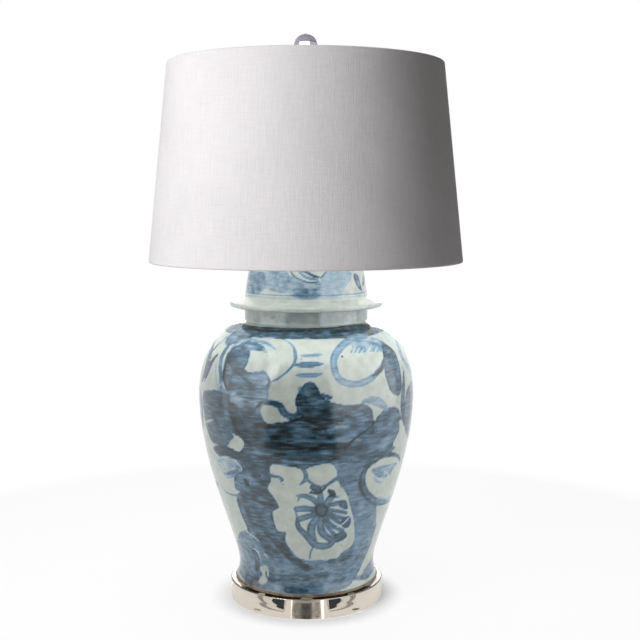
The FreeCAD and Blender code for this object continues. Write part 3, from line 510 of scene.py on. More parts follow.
class Material(Enum):
    """Every finish on the lamp but the porcelain's."""

    # a faint warm tint of the acrylic's own, darkened further as a painted reflection of a darker room
    ACRYLIC = Clear("acrylic", srgb(208, 199, 184), 0.01)
    # a lavender tint of the crystal's own, darkened further as a painted reflection of the dark below it
    CRYSTAL = Clear("crystal", srgb(166, 159, 180), 0.0, ior=1.52, ripple=0.000001)
    CLEAR_RUBBER = Clear("clear_rubber", srgb(246, 236, 218), 0.25, ior=1.42, ripple=0.00002, clarity=0.2)
    STEEL = Metal("steel", srgb(176, 178, 182), 0.34)
    ZINC = Metal("zinc", srgb(186, 190, 192), 0.42, brushed=0.8)
    NICKEL = Metal("nickel", srgb(206, 200, 190), 0.24)
    SCREW_BRASS = Metal("screw_brass", srgb(214, 180, 104), 0.25, tarnish=srgb(120, 92, 48))
    SHELL_BRASS = Metal("shell_brass", srgb(208, 176, 108), 0.3, tarnish=srgb(116, 90, 50))
    BULB_METAL = Metal("bulb_metal", srgb(214, 214, 216), 0.33)
    BUSHING = Moulding("bushing_plastic", srgb(228, 226, 218), 0.4)
    FIBRE = Moulding("fibre", srgb(40, 40, 42), 0.7, skin=0.00012, specular=0.3)
    CORE = Moulding("moulded_core", srgb(30, 29, 28), 0.38)
    KNOB = Moulding("knob_plastic", srgb(24, 23, 22), 0.28)
    BULB_TIP = Moulding("bulb_tip", srgb(34, 34, 38), 0.2)
    BULB_GLASS = Moulding("bulb_glass", srgb(246, 245, 242), 0.22, skin=0.00001)
    LINER = Moulding("shade_liner", srgb(240, 238, 234), 0.42, skin=0.00003)
    WIRE = Moulding("white_wire", srgb(234, 233, 230), 0.34, skin=0.00006)
    CLOTH = Cloth("shade_cloth", srgb(243, 240, 243), 0.82)


# ---- turned shapes


@dataclass
class Turned:
    """A shape spun round the lamp's axis: an eighth of a turn, doubled three times.

    Attributes:
        outline: Radius and height of each point, in metres, once round the outline.
        columns: How many steps a full turn has, in eights.
        crowding: How far the columns crowd towards the front, from 0 for none.
    """

    outline: Outline
    columns: int
    crowding: float = 0.0

    def mesh(self, closed: bool = True) -> BMesh:
        """Spins the outline.

        Args:
            closed: Whether the outline's last point joins its first.

        Returns:
            The spun mesh, its faces pointing out.
        """
        shape = bmesh.new()
        points = [shape.verts.new((0.0, -radius, height)) for radius, height in self.outline]
        pairs = list(zip(points, points[1:])) + ([(points[-1], points[0])] if closed else [])
        edges = [shape.edges.new(pair) for pair in pairs if (pair[0].co - pair[1].co).length > 0]
        bmesh.ops.spin(
            shape,
            geom=points + edges,
            cent=(0, 0, 0),
            axis=(0, 0, 1),
            angle=math.tau / 8,
            steps=self.columns // 8,
            use_merge=False,
        )
        for share in (8, 4, 2):
            copied = bmesh.ops.duplicate(shape, geom=[*shape.verts, *shape.edges, *shape.faces])["geom"]
            verts = [part for part in copied if isinstance(part, BMVert)]
            turned = Matrix.Rotation(math.tau / share, 3, "Z")
            bmesh.ops.rotate(shape, verts=verts, cent=(0, 0, 0), matrix=turned)
        bmesh.ops.remove_doubles(shape, verts=shape.verts, dist=1e-6)
        bmesh.ops.recalc_face_normals(shape, faces=shape.faces)
        for vert in shape.verts:
            if self.crowding:
                turn = math.atan2(vert.co.x, -vert.co.y)
                moved = turn - self.crowding * math.sin(turn)
                radius = math.hypot(vert.co.x, vert.co.y)
                vert.co.x, vert.co.y = radius * math.sin(moved), -radius * math.cos(moved)
        return shape


def finish_piece(shape: BMesh, name: str, finish: Finish, body: str, sharp: float = 32.0) -> Object:
    """Turns a bmesh into a dressed object that rides on its body.

    Args:
        shape: The mesh, in metres in the row frame. It is freed.
        name: The piece's name.
        finish: What it is made of.
        body: The CAD body that it moves with.
        sharp: The angle, in degrees, above which an edge stays crisp.

    Returns:
        The new object.
    """
    mesh = bpy.data.meshes.new(name)
    shape.to_mesh(mesh)
    shape.free()
    mesh.shade_smooth()
    mesh.set_sharp_from_angle(angle=math.radians(sharp))
    mesh.materials.append(finish.material())
    piece = bpy.data.objects.new(name, mesh)
    bpy.context.scene.collection.objects.link(piece)
    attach(piece, body)
    log.info("%s: %d faces on %s", name, len(mesh.polygons), body)
    return piece


def node_silhouette(node: str, heights: list[float]) -> list[float]:
    """A turned CAD node's outer radius at some heights.

    Args:
        node: The node's name.
        heights: Heights in metres.

    Returns:
        The radius at each height, in metres.
    """
    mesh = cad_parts[node].data
    ends = np.array([[mesh.vertices[v].co[:] for v in edge.vertices] for edge in mesh.edges])
    radius = np.hypot(ends[:, :, 0], ends[:, :, 1])
    low, high = ends[:, :, 2].min(axis=1), ends[:, :, 2].max(axis=1)
    found = []
    for height in heights:
        crossing = (low <= height) & (high >= height) & (high - low > 1e-9)
        start, end = ends[crossing, 0, 2], ends[crossing, 1, 2]
        share = (height - start) / (end - start)
        found.append(float((radius[crossing, 0] * (1 - share) + radius[crossing, 1] * share).max()))
    return found


# ---- curves


def smooth_curve(points: list[tuple[float, ...]], count: int) -> np.ndarray:
    """Evenly spaced points on the smooth curve through some points.

    Args:
        points: Two or more points; their first two values are a place, any others go along.
        count: How many points to give.

    Returns:
        One row for each point.
    """
    knots = np.array(points, dtype=float)
    steps = np.maximum(np.hypot(*np.diff(knots[:, :2], axis=0).T), 1e-9)
    reach = np.concatenate([[0.0], np.cumsum(steps)])
    system, pull = np.eye(len(knots)), np.zeros_like(knots)
    for i in range(1, len(knots) - 1):
        before, after = steps[i - 1], steps[i]
        system[i, i - 1 : i + 2] = before, 2 * (before + after), after
        pull[i] = 6 * ((knots[i + 1] - knots[i]) / after - (knots[i] - knots[i - 1]) / before)
    bend = np.linalg.solve(system, pull)
    where = np.linspace(0.0, reach[-1], count)
    span = np.clip(np.searchsorted(reach, where, side="right") - 1, 0, len(steps) - 1)
    wide, along = steps[span][:, None], (where - reach[span])[:, None]
    slope = (knots[span + 1] - knots[span]) / wide - wide * (2 * bend[span] + bend[span + 1]) / 6
    cubic = (bend[span + 1] - bend[span]) / (6 * wide)
    return knots[span] + slope * along + bend[span] * along**2 / 2 + cubic * along**3


def closed_curve(points: tuple[Point, ...], span: int = 6) -> np.ndarray:
    """The smooth closed curve through some points.

    Args:
        points: The points, once round.
        span: How many points to give from each to the next.

    Returns:
        One row for each point.
    """
    here = np.array(points, dtype=float)[:, None, :]
    before, ahead, beyond = (np.roll(here, shift, axis=0) for shift in (1, -1, -2))
    t = np.linspace(0.0, 1.0, span, endpoint=False)[None, :, None]
    cubic = 3 * here - before - 3 * ahead + beyond
    square = 2 * before - 5 * here + 4 * ahead - beyond
    return (here + ((ahead - before) * t + square * t**2 + cubic * t**3) / 2).reshape(-1, 2)


def arc(start: Point, end: Point, radius: float, side: int = 1, steps: int = 8) -> Outline:
    """Points after start, up to end, on the lesser arc between them.

    Args:
        start: Where it starts.
        end: Where it ends.
        radius: Its radius.
        side: 1 where its centre is left of the way from start to end, -1 where it is right.
        steps: How many points.

    Returns:
        The points.
    """
    across = np.subtract(end, start)
    half = np.hypot(*across) / 2
    aside = side * math.sqrt(max(radius**2 - half**2, 0.0)) * np.array([-across[1], across[0]]) / (2 * half)
    centre = np.add(start, end) / 2 + aside
    first, last = (math.atan2(*(np.subtract(point, centre)[::-1])) for point in (start, end))
    sweep = (last - first) % math.tau if side > 0 else -((first - last) % math.tau)
    turns = [first + sweep * (step + 1) / steps for step in range(steps)]
    return [(centre[0] + radius * math.cos(turn), centre[1] + radius * math.sin(turn)) for turn in turns]


def straight(start: Point, end: Point, steps: int) -> Outline:
    """Points after start, up to end, evenly along the line between them."""
    return [tuple(point) for point in np.linspace(start, end, steps + 1)[1:]]


def in_metres(points: Outline, level: float) -> Outline:
    """Millimetre points of an outline, raised to a level in metres."""
    return [(radius * MM, level + height * MM) for radius, height in points]


# ---- brushwork


class Tone(Enum):
    """How much cobalt a brush leaves, from bare glaze to the near-black of a loaded brush."""

    BARE = 0.0
    MIST = 0.2
    WASH = 0.36
    MID = 0.52
    DEEP = 0.68
    DARK = 0.82
    INK = 1.0


BARE, MIST, WASH, MID, DEEP, DARK, INK = Tone


@dataclass(frozen=True)
class Mark:
    """What the brush leaves on the wall at one go.

    Attributes:
        points: Azimuth in degrees and height in millimetres of each point; a stroke's have its width too.
        tone: How much cobalt it leaves.
        rim: How much darker its wet edge dries.
        streak: How much the bristles show.
        cover: How far it hides what is under it.
        iron: How brown the impure cobalt burns.
    """

    points: tuple[tuple[float, ...], ...]
    tone: Tone = Tone.MID
    rim: float = 0.06
    streak: float = 0.1
    cover: float = 1.0
    iron: float = 0.0


@dataclass(frozen=True)
class Stroke(Mark):
    """One pull of the brush along the smooth curve through its points."""

    rim: float = 0.1
    streak: float = 0.08


@dataclass(frozen=True)
class Patch(Mark):
    """An area filled with the brush, or one left bare, inside the smooth border through its points."""


Marks = tuple[Mark, ...]


@dataclass
class Clouds:
    """Smooth random variation over a turned wall, the same on both sides of the join at the back.

    Attributes:
        seed: Which of the random lattices it is.
        around: How many values the lattice has round the wall.
        upright: How far apart they are along it, in millimetres.
        rows: How many there are along it, more than any wall needs.
    """

    seed: int
    around: int
    upright: float
    rows: int = 400

    def at(self, azimuth: np.ndarray, height: np.ndarray) -> np.ndarray:
        """The variation, from -1 to 1.

        Args:
            azimuth: Degrees.
            height: Millimetres.

        Returns:
            A value for each place.
        """
        lattice = np.random.default_rng(self.seed).uniform(-1.0, 1.0, (self.around, self.rows))
        across, up = (azimuth + 180.0) / 360.0 * self.around, height / self.upright + 3.0
        left, low = np.floor(across).astype(int), np.floor(up).astype(int)
        x, y = across - left, up - low
        x, y = x * x * (3 - 2 * x), y * y * (3 - 2 * y)
        left, right, low = left % self.around, (left + 1) % self.around, low % (self.rows - 1)
        lower = lattice[left, low] * (1 - x) + lattice[right, low] * x
        upper = lattice[left, low + 1] * (1 - x) + lattice[right, low + 1] * x
        return lower * (1 - y) + upper * y


class Wall:
    """A turned wall as a canvas: the cobalt and the iron brown on each of its points.

    Attributes:
        SOFT: How far a mark's edge fades to each side, in millimetres.
        RIM_INSET: How far inside its edge a mark dries darkest, in millimetres.
        RIM_WIDTH: How wide that dark rim is, in millimetres.
        MOTTLE: How strong the broad unevenness of a wash is beside its bristle lines.
        THICKEST: The most cobalt that a mark can hold.
        SKIN: How far inside its outline the outside still counts, in millimetres.
        REACH: How far past its points a mark's paint can come, in millimetres.
        FAR: A distance beyond any mark's reach, in millimetres.
        SPREAD: Degrees round the wall that surely take in a millimetre of it.
        RAGGED: How ragged the wiped edge of the glaze is, broad and fine, in millimetres.
    """

    SOFT = 0.9
    RIM_INSET, RIM_WIDTH = 1.6, 1.5
    MOTTLE = 0.7
    THICKEST = 1.15
    SKIN = 0.6
    REACH, FAR = 4.0, 1e3
    SPREAD = 0.75
    RAGGED = 0.5, 0.35

    def __init__(self, mesh: Mesh, outline: Outline) -> None:
        """Measures the wall.

        Args:
            mesh: The turned mesh, in metres.
            outline: Its outer outline from bottom to top, in metres, which gives the way along the wall.
        """
        places = np.empty(len(mesh.vertices) * 3)
        mesh.vertices.foreach_get("co", places)
        places = places.reshape(-1, 3) * 1000.0
        self.mesh = mesh
        self.azimuth = np.degrees(np.arctan2(places[:, 0], -places[:, 1]))
        self.radius = np.hypot(places[:, 0], places[:, 1])
        self.height = places[:, 2]
        line = np.array(outline) * 1000.0
        self.line_height = line[:, 1]
        self.line_way = np.concatenate([[0.0], np.cumsum(np.hypot(*np.diff(line, axis=0).T))])
        self.way = self.along(self.height)
        self.outside = self.radius > np.interp(self.height, line[:, 1], line[:, 0]) - self.SKIN
        self.cobalt, self.iron, self.clay = np.zeros((3, len(places)))
        self.bristle = Clouds(seed=5, around=90, upright=2.1).at(self.azimuth, self.way)
        self.mottle = Clouds(seed=8, around=72, upright=9.0).at(self.azimuth, self.way)

    def along(self, height: np.ndarray) -> np.ndarray:
        """The way along the wall, in millimetres, at a height."""
        return np.interp(height, self.line_height, self.line_way)

    def offsets(self, azimuth: float, height: float, chosen: np.ndarray) -> tuple[np.ndarray, np.ndarray]:
        """How far the chosen points are from a place, round the wall and along it, in millimetres."""
        turn = (self.azimuth[chosen] - azimuth + 180.0) % 360.0 - 180.0
        return np.radians(turn) * self.radius[chosen], self.way[chosen] - float(self.along(height))

    def near(self, points: np.ndarray, margin: float) -> np.ndarray:
        """The outside points near a run of places.

        Args:
            points: Azimuth and height of each place.
            margin: How near, in millimetres.

        Returns:
            Their numbers.
        """
        low, high = points[:, 1].min() - margin, points[:, 1].max() + margin
        middle = (points[:, 0].min() + points[:, 0].max()) / 2
        spread = (points[:, 0].max() - points[:, 0].min()) / 2 + margin * self.SPREAD
        turn = np.abs((self.azimuth - middle + 180.0) % 360.0 - 180.0)
        return np.nonzero(self.outside & (self.height > low) & (self.height < high) & (turn < spread))[0]

    def lay(self, chosen: np.ndarray, gap: np.ndarray, mark: Mark) -> None:
        """Lays a mark's cobalt where it reaches.

        Args:
            chosen: The points' numbers.
            gap: Each point's distance outside the mark's edge, negative inside it, in millimetres.
            mark: The stroke or patch.
        """
        inside = np.clip((self.SOFT - gap) / (2 * self.SOFT), 0.0, 1.0)
        cover = mark.cover * inside * inside * (3 - 2 * inside)
        tone = mark.tone.value
        if mark.tone is not Tone.BARE:
            tone = tone + mark.rim * np.exp(-(((gap + self.RIM_INSET) / self.RIM_WIDTH) ** 2))
            tone = tone + mark.streak * (self.bristle[chosen] + self.MOTTLE * self.mottle[chosen])
        self.cobalt[chosen] = self.cobalt[chosen] * (1 - cover) + np.clip(tone, 0.0, self.THICKEST) * cover
        self.iron[chosen] = self.iron[chosen] * (1 - cover) + mark.iron * cover

    def segments(self, line: np.ndarray, chosen: np.ndarray) -> Iterator[tuple[np.ndarray, ...]]:
        """Measures the chosen points from each segment of a line.

        Args:
            line: The line's points.
            chosen: The points' numbers.

        Yields:
            How far along the segment each point's nearest place is, from 0 to 1, the distance to it, and
            whether the segment passes on one side of the point.
        """
        x, y = self.offsets(line[0][0], line[0][1], chosen)
        for end in line[1:]:
            far_x, far_y = self.offsets(end[0], end[1], chosen)
            run_x, run_y = x - far_x, y - far_y
            share = np.clip((x * run_x + y * run_y) / np.maximum(run_x**2 + run_y**2, 1e-9), 0.0, 1.0)
            beside = ((y > 0) != (far_y > 0)) & (x - y * run_x / np.where(run_y == 0, 1e-9, run_y) > 0)
            yield share, np.hypot(x - run_x * share, y - run_y * share), beside
            x, y = far_x, far_y

    def stroke(self, mark: Stroke) -> None:
        """Lays a stroke along the smooth curve through its points.

        Args:
            mark: The stroke.
        """
        knots = mark.points
        line = smooth_curve(knots, 6 * len(knots)) if len(knots) > 2 else np.array(knots, dtype=float)
        chosen = self.near(line, self.REACH + line[:, 2].max())
        gap = np.full(len(chosen), self.FAR)
        for number, (share, distance, _) in enumerate(self.segments(line, chosen)):
            half = (line[number][2] * (1 - share) + line[number + 1][2] * share) / 2
            gap = np.minimum(gap, distance - half)
        self.lay(chosen, gap, mark)

    def patch(self, mark: Patch) -> None:
        """Fills the smooth closed border through a patch's points.

        Args:
            mark: The patch.
        """
        line = closed_curve(mark.points)
        chosen = self.near(line, self.REACH)
        gap, inside = np.full(len(chosen), self.FAR), np.zeros(len(chosen), dtype=bool)
        for _, distance, beside in self.segments(np.vstack([line, line[:1]]), chosen):
            gap = np.minimum(gap, distance)
            inside ^= beside
        self.lay(chosen, np.where(inside, -gap, gap), mark)

    def paint(self, marks: Marks) -> None:
        """Lays marks in order, each over those before it.

        Args:
            marks: Strokes and patches.
        """
        for mark in marks:
            if isinstance(mark, Stroke):
                self.stroke(mark)
            else:
                self.patch(mark)

    def wipe_foot(self, level: float) -> None:
        """Leaves the clay bare below a height in millimetres, with a ragged edge, and inside the wall."""
        edge = level + self.RAGGED[0] * self.mottle + self.RAGGED[1] * self.bristle
        self.clay = np.clip((edge - self.height) / self.SOFT, 0.0, 1.0)
        self.clay[~self.outside] = 1.0

    def keep(self) -> None:
        """Writes the cobalt, the iron brown and the bare clay to the mesh as its attribute named brush."""
        layer = self.mesh.attributes.new("brush", "FLOAT_COLOR", "POINT")
        values = np.zeros((len(self.azimuth), 4), dtype=np.float32)
        for channel, paint in enumerate((self.cobalt, self.iron, self.clay, 1.0)):
            values[:, channel] = paint
        layer.data.foreach_set("color", values.ravel())


@dataclass(frozen=True)
class Glaze(Finish):
    """Pale celadon glaze over cobalt brushwork, read from the wall's brush attribute."""

    clay: Colour = (0.3, 0.23, 0.16, 1.0)
    ior: float = 1.6

    def dress(self, bench: Bench, surface: Node, place: NodeSocket) -> None:
        """Cobalt by its strength, iron brown, specks, wheel marks and the gloss over them."""
        brush = bench.add("SeparateColor")
        bench.feed(brush.inputs[0], bench.add("Attribute", attribute_name="brush").outputs["Color"])
        grain = GRAIN.place(bench, Vector=place, Scale=70.0)
        lines = SCRATCHES.place(bench, Vector=place, Scale=34.0)
        wheel = bench.math("SUBTRACT", lines.outputs["Around"], 0.5)
        fine = bench.math("SUBTRACT", grain.outputs["Fine"], 0.5)
        loose = bench.plus(bench.times(wheel, 0.3), bench.times(fine, 0.8))
        held = bench.band(brush.outputs[0], 0.04, 0.4, 0.12, 0.55)
        cobalt = bench.plus(brush.outputs[0], bench.times(loose, held))
        tones = bench.add("ValToRGB")
        bench.feed(tones.inputs[0], bench.times(cobalt, 0.85))
        stops = (
            (0.0, self.colour),
            (0.07, self.colour),
            (0.14, srgb(178, 197, 205)),
            (0.3, srgb(142, 170, 192)),
            (0.44, srgb(103, 135, 159)),
            (0.58, srgb(70, 98, 116)),
            (0.72, srgb(50, 70, 80)),
            (0.86, srgb(32, 43, 49)),
            (0.97, srgb(22, 24, 26)),
        )
        for number, (at, colour) in enumerate(stops):
            stop = tones.color_ramp.elements[number] if number < 2 else tones.color_ramp.elements.new(at)
            stop.position, stop.color = at, colour
        cloudy = bench.band(grain.outputs["Broad"], 0.35, 0.7, 0.0, 0.28)
        colour = bench.mix(cloudy, tones.outputs[0], srgb(176, 184, 172), Blend.MULTIPLY)
        iron = SPECKS.place(bench, Vector=place, Scale=150.0, Share=0.1, Size=0.16)
        colour = bench.mix(bench.times(iron.outputs["Mask"], 0.6), colour, srgb(112, 92, 74))
        spots = SPECKS.place(bench, Vector=place, Scale=62.0, Share=0.05, Size=0.12)
        colour = bench.mix(bench.times(spots.outputs["Mask"], 0.85), colour, srgb(58, 44, 40))
        brown = bench.times(brush.outputs[1], bench.band(grain.outputs["Broad"], 0.35, 0.6, 0.4, 1.0))
        colour = bench.mix(brown, colour, srgb(92, 70, 54))
        bare = bench.band(brush.outputs[2], 0.3, 0.7)
        burnt = bench.mix(bench.band(grain.outputs["Broad"], 0.38, 0.62), self.clay, srgb(96, 80, 62))
        bench.feed(surface.inputs["Base Color"], bench.mix(bare, colour, burnt))
        worn = bench.band(lines.outputs["Around"], 0.4, 0.75, self.roughness, self.roughness + 0.05)
        bench.feed(surface.inputs["Roughness"], bench.plus(worn, bench.times(bare, 0.6)))
        surface.inputs["IOR"].default_value = self.ior
        height = bench.plus(bench.times(lines.outputs["Around"], 0.5), grain.outputs["Broad"])
        height = bench.plus(height, bench.times(cobalt, 0.25))
        bench.feed(surface.inputs["Normal"], bench.bump(height, 0.00022))


PORCELAIN = Glaze("jar_porcelain", srgb(196, 206, 199), 0.04)
LID_PORCELAIN = Glaze("lid_porcelain", srgb(196, 205, 199), 0.04)


# ---- the painting

# Each point is an azimuth in degrees and a height in millimetres; a stroke's third value is its width.

JAR_MASSES: Marks = (
    # the dark mass across the middle, its peak and its right shoulder
    Patch(((-51.5, 379.5), (-49.5, 353), (-45, 327), (-48, 308), (-46.5, 280), (-38, 268), (-33, 260),
        (-38, 245), (-40.5, 220.5), (-35.5, 205), (-20, 225), (-15.5, 237.5), (-19, 268), (-18, 289),
        (-12.5, 292.5), (-19, 305), (-22.5, 316.5), (-20.5, 333.5), (-18.5, 352), (-23.5, 360.5), (-32, 359),
        (-39, 369.5), (-48, 380.5)), DEEP, streak=0.16),
    Patch(((-28, 288), (-15.5, 290.5), (-8, 295.5), (-4.5, 305.5), (-5.5, 324), (-3, 339), (0, 348),
        (3.5, 348), (6, 340), (7.5, 331), (12.5, 321), (22, 315.5), (30, 315), (35, 305.5), (37, 292),
        (41, 302), (47, 305.5), (55, 299), (60, 274), (60, 252), (52.5, 238.5), (41, 230.5), (34.5, 220),
        (25, 216), (16.5, 224), (12, 235), (3.5, 231.5), (-1.5, 227), (-5.5, 230), (-12.5, 232), (-19, 231),
        (-27.5, 222.5), (-35, 226), (-36, 248.5), (-33.5, 266.5)), DEEP, rim=0.1, streak=0.2),
    # the left shoulder's block
    Patch(((-69, 316), (-57, 326), (-49, 328.5), (-44.5, 326), (-46, 301.5), (-44, 278.5), (-40, 266),
        (-44, 254), (-51, 248), (-62, 251), (-67, 277.5)), DEEP, streak=0.14),
    Patch(((-60, 242), (-50, 250), (-41.5, 248), (-36, 241.5), (-38.5, 233.5), (-49, 231.5), (-57.5, 233)),
        DARK, streak=0.12),
    # the two arms that hold the flower's ground
    Patch(((-35.5, 222.5), (-25.5, 232), (-17.5, 231), (-19, 210.5), (-22, 196), (-19, 184.5), (-16, 169.5),
        (-21, 159), (-19.5, 133.5), (-13.5, 130), (-14.5, 118.5), (-11, 103), (-4, 89.5), (-17, 74.5),
        (-33, 80), (-40.5, 104), (-45.5, 133.5), (-47.5, 156), (-46.5, 175), (-38, 193), (-45, 194.5),
        (-44, 207)), DEEP, rim=0.08, streak=0.16),
    Patch(((16.5, 224), (18.5, 206), (24, 184.5), (27.5, 164.5), (32.5, 137.5), (34, 125.5), (34, 102),
        (27, 94.5), (25.5, 82.5), (47, 67.5), (59, 75.5), (59.5, 96), (58.5, 120), (53, 148.5), (49.5, 159.5),
        (37, 180), (31.5, 199), (34, 219), (24, 232.5)), MID, rim=0.08, streak=0.12),
    # the wash down to the foot
    Patch(((-55.5, 115.5), (-42.5, 123.5), (-34.5, 98.5), (-25, 89), (-11.5, 103), (-4, 89.5), (13.5, 85),
        (24, 86), (29.5, 94), (64, 88.5), (59.5, 73.5), (52, 60.5), (40.5, 43.5), (27, 36.5), (0, 35),
        (-29, 35.5), (-50, 35.5), (-66, 38.5), (-88, 51)), MID, streak=0.14),
    # darker pools and streaks in it
    Stroke(((-41, 347.5, 10.6), (-40.5, 317.5, 16), (-37.5, 290.5, 18.6), (-30.5, 269, 18.6),
        (-22.5, 257, 16)), DARK, cover=0.7, streak=0.2),
    Stroke(((-31.5, 278.5, 8), (-15.5, 282.5, 10.6), (-0.5, 283.5, 12), (12, 274.5, 9.3)), DARK, cover=0.75,
        streak=0.25),
    Stroke(((-25.5, 287, 6.7), (-11, 292, 5.3), (0, 301.5, 4), (6, 304, 2.7)), INK, cover=0.6, iron=0.25,
        streak=0.2),
    Patch(((-1.5, 298.5), (5, 302.5), (12, 298), (19, 294), (14.5, 288), (9.5, 283), (5, 289), (1.5, 293)),
        INK, cover=0.75, iron=0.22, streak=0.2),
    Stroke(((-22.5, 263, 10.6), (-8, 265.5, 12), (6, 260, 10.6), (20, 259, 6.7)), DARK, cover=0.75,
        streak=0.25),
    Stroke(((-15.5, 247.5, 8), (-3, 244.5, 9.3), (8, 245.5, 8), (17.5, 237, 6.7)), DARK, cover=0.6,
        streak=0.2),
    Stroke(((-3, 340, 8), (-1.5, 324.5, 12), (1, 312, 12), (8, 306.5, 10.6), (17, 305.5, 8)), DARK,
        cover=0.55, streak=0.25),
    Stroke(((-5, 308, 2), (-1, 301.5, 2.7), (-8, 297, 2)), INK, cover=0.6),
    Patch(((10, 286), (17, 293), (26.5, 299.5), (32.5, 292), (34, 278), (28, 265.5), (19, 262.5),
        (13, 271.5)), MID, cover=0.55, streak=0.2),
    Patch(((-23, 245.5), (-18.5, 259.5), (-19, 270.5), (-26, 263.5), (-29.5, 248), (-28, 232.5)), MID,
        cover=0.5, streak=0.16),
    Patch(((37.5, 283.5), (43, 297), (51, 299.5), (56, 283), (56, 260), (49.5, 245.5), (41.5, 243.5),
        (36.5, 263)), MID, cover=0.6, streak=0.14),
    Stroke(((-18, 272, 4), (-8, 275, 8), (4, 272.5, 5.3)), INK, cover=0.6, streak=0.3),
    Stroke(((-26, 259, 6.7), (-15.5, 260, 8), (-2, 257, 4)), INK, cover=0.5, streak=0.3),
    Stroke(((-39, 293, 6.7), (-36.5, 271.5, 8), (-31, 262, 5.3)), INK, cover=0.5, streak=0.3),
    Stroke(((-12, 289.5, 6.7), (-10, 279, 9.3), (-11, 262, 8)), DARK, cover=0.5, streak=0.2),
    Stroke(((19.5, 252, 1.6), (25.5, 269, 2.9), (32, 278.5, 1.9), (36.5, 286.5, 1.3)), INK, cover=0.8),
    Stroke(((34.5, 282, 1.3), (37, 292, 3.2), (41, 300.5, 1.6)), INK, cover=0.85),
    Stroke(((8.5, 261, 2.1), (20, 258.5, 2.9), (33, 255, 1.6)), DARK, cover=0.6),
    Stroke(((21, 306, 6.7), (26.5, 307.5, 8), (32.5, 303.5, 5.3)), MID, cover=0.5, streak=0.2),
    Stroke(((-32, 212.5, 13.3), (-28.5, 189.5, 21.3), (-25, 164, 17.3), (-22, 147.5, 10.6)), DEEP, cover=0.8,
        rim=0.02, iron=0.12, streak=0.22),
    Stroke(((-36.5, 187.5, 13.3), (-28, 178.5, 17.3), (-21.5, 173, 8)), DARK, cover=0.6, iron=0.2,
        streak=0.22),
    Stroke(((-43.5, 166, 9.3), (-42.5, 130, 12), (-35, 96.5, 12)), MID, cover=0.6),
    Stroke(((-30.5, 133.5, 8), (-21.5, 112.5, 12), (-12, 91.5, 10.6), (0, 73.5, 9.3)), DARK, cover=0.65,
        streak=0.22),
    Stroke(((-13.5, 91.5, 6.7), (-7, 79.5, 9.3), (3, 73.5, 8)), DARK, cover=0.5, streak=0.22),
    Stroke(((18.5, 82.5, 8), (31.5, 85, 9.3), (36, 101, 8), (33, 111.5, 5.3)), DEEP, cover=0.7, iron=0.08,
        streak=0.2),
    Stroke(((-39, 54, 10.6), (-17.5, 56, 10.6), (3, 59.5, 10.6), (19.5, 62, 8)), DEEP, cover=0.5, streak=0.2),
    Stroke(((-58, 41.5, 13.3), (-44, 41, 13.3)), DARK, cover=0.7, streak=0.2),
    Stroke(((-16, 40, 8), (-3, 39.5, 6.7), (0, 40, 5.3)), DEEP, cover=0.8),
    Stroke(((-45.5, 93.5, 9.3), (-43, 75.5, 10.6), (-45.5, 60.5, 6.7)), DARK, cover=0.6, streak=0.2),
)
JAR_BAND: Marks = (
    # the dark band under the neck, drawn out over the shoulders
    Patch(((-61, 389.5), (-63.5, 398), (-62, 406.5), (-60, 412.5), (-40.5, 413.5), (-18.5, 414.5),
        (3.5, 414.5), (26, 415), (49, 416), (65, 413.5), (64.5, 409), (50, 406.5), (34, 405), (20, 404),
        (2.5, 403), (-14.5, 403), (-31.5, 403), (-42, 399.5), (-47.5, 392.5), (-53.5, 390)), DEEP, rim=0.08,
        streak=0.2),
    Stroke(((-53, 411.5, 4), (-34, 410, 6), (-17, 411, 5.3), (3, 412, 4.8)), INK, cover=0.85, iron=0.35,
        streak=0.24),
    Stroke(((3.5, 414, 4), (25.5, 414, 4), (44, 414.5, 4), (63, 411.5, 2)), INK, cover=0.75, iron=0.4,
        streak=0.24),
    Stroke(((18.5, 409.5, 4), (33, 410.5, 5.3), (48, 410, 4)), DARK, cover=0.7, iron=0.3, streak=0.2),
    Stroke(((-32.5, 404.5, 4.5), (-15, 405, 4.5), (0, 405.5, 4.8), (14, 405.5, 4)), MID, cover=0.55),
    Patch(((-60, 388), (-63, 396), (-58.5, 402), (-52, 399), (-50, 393), (-54, 388.5)), MID, cover=0.8,
        streak=0.2),
    Stroke(((-66, 388, 5.3), (-65, 403, 6.7), (-65, 412, 4)), WASH, cover=0.8, iron=0.15, streak=0.2),
    Stroke(((72.5, 410, 5.3), (73.5, 402.5, 5.3), (74, 392.5, 4)), WASH, cover=0.8, iron=0.1, streak=0.2),
)
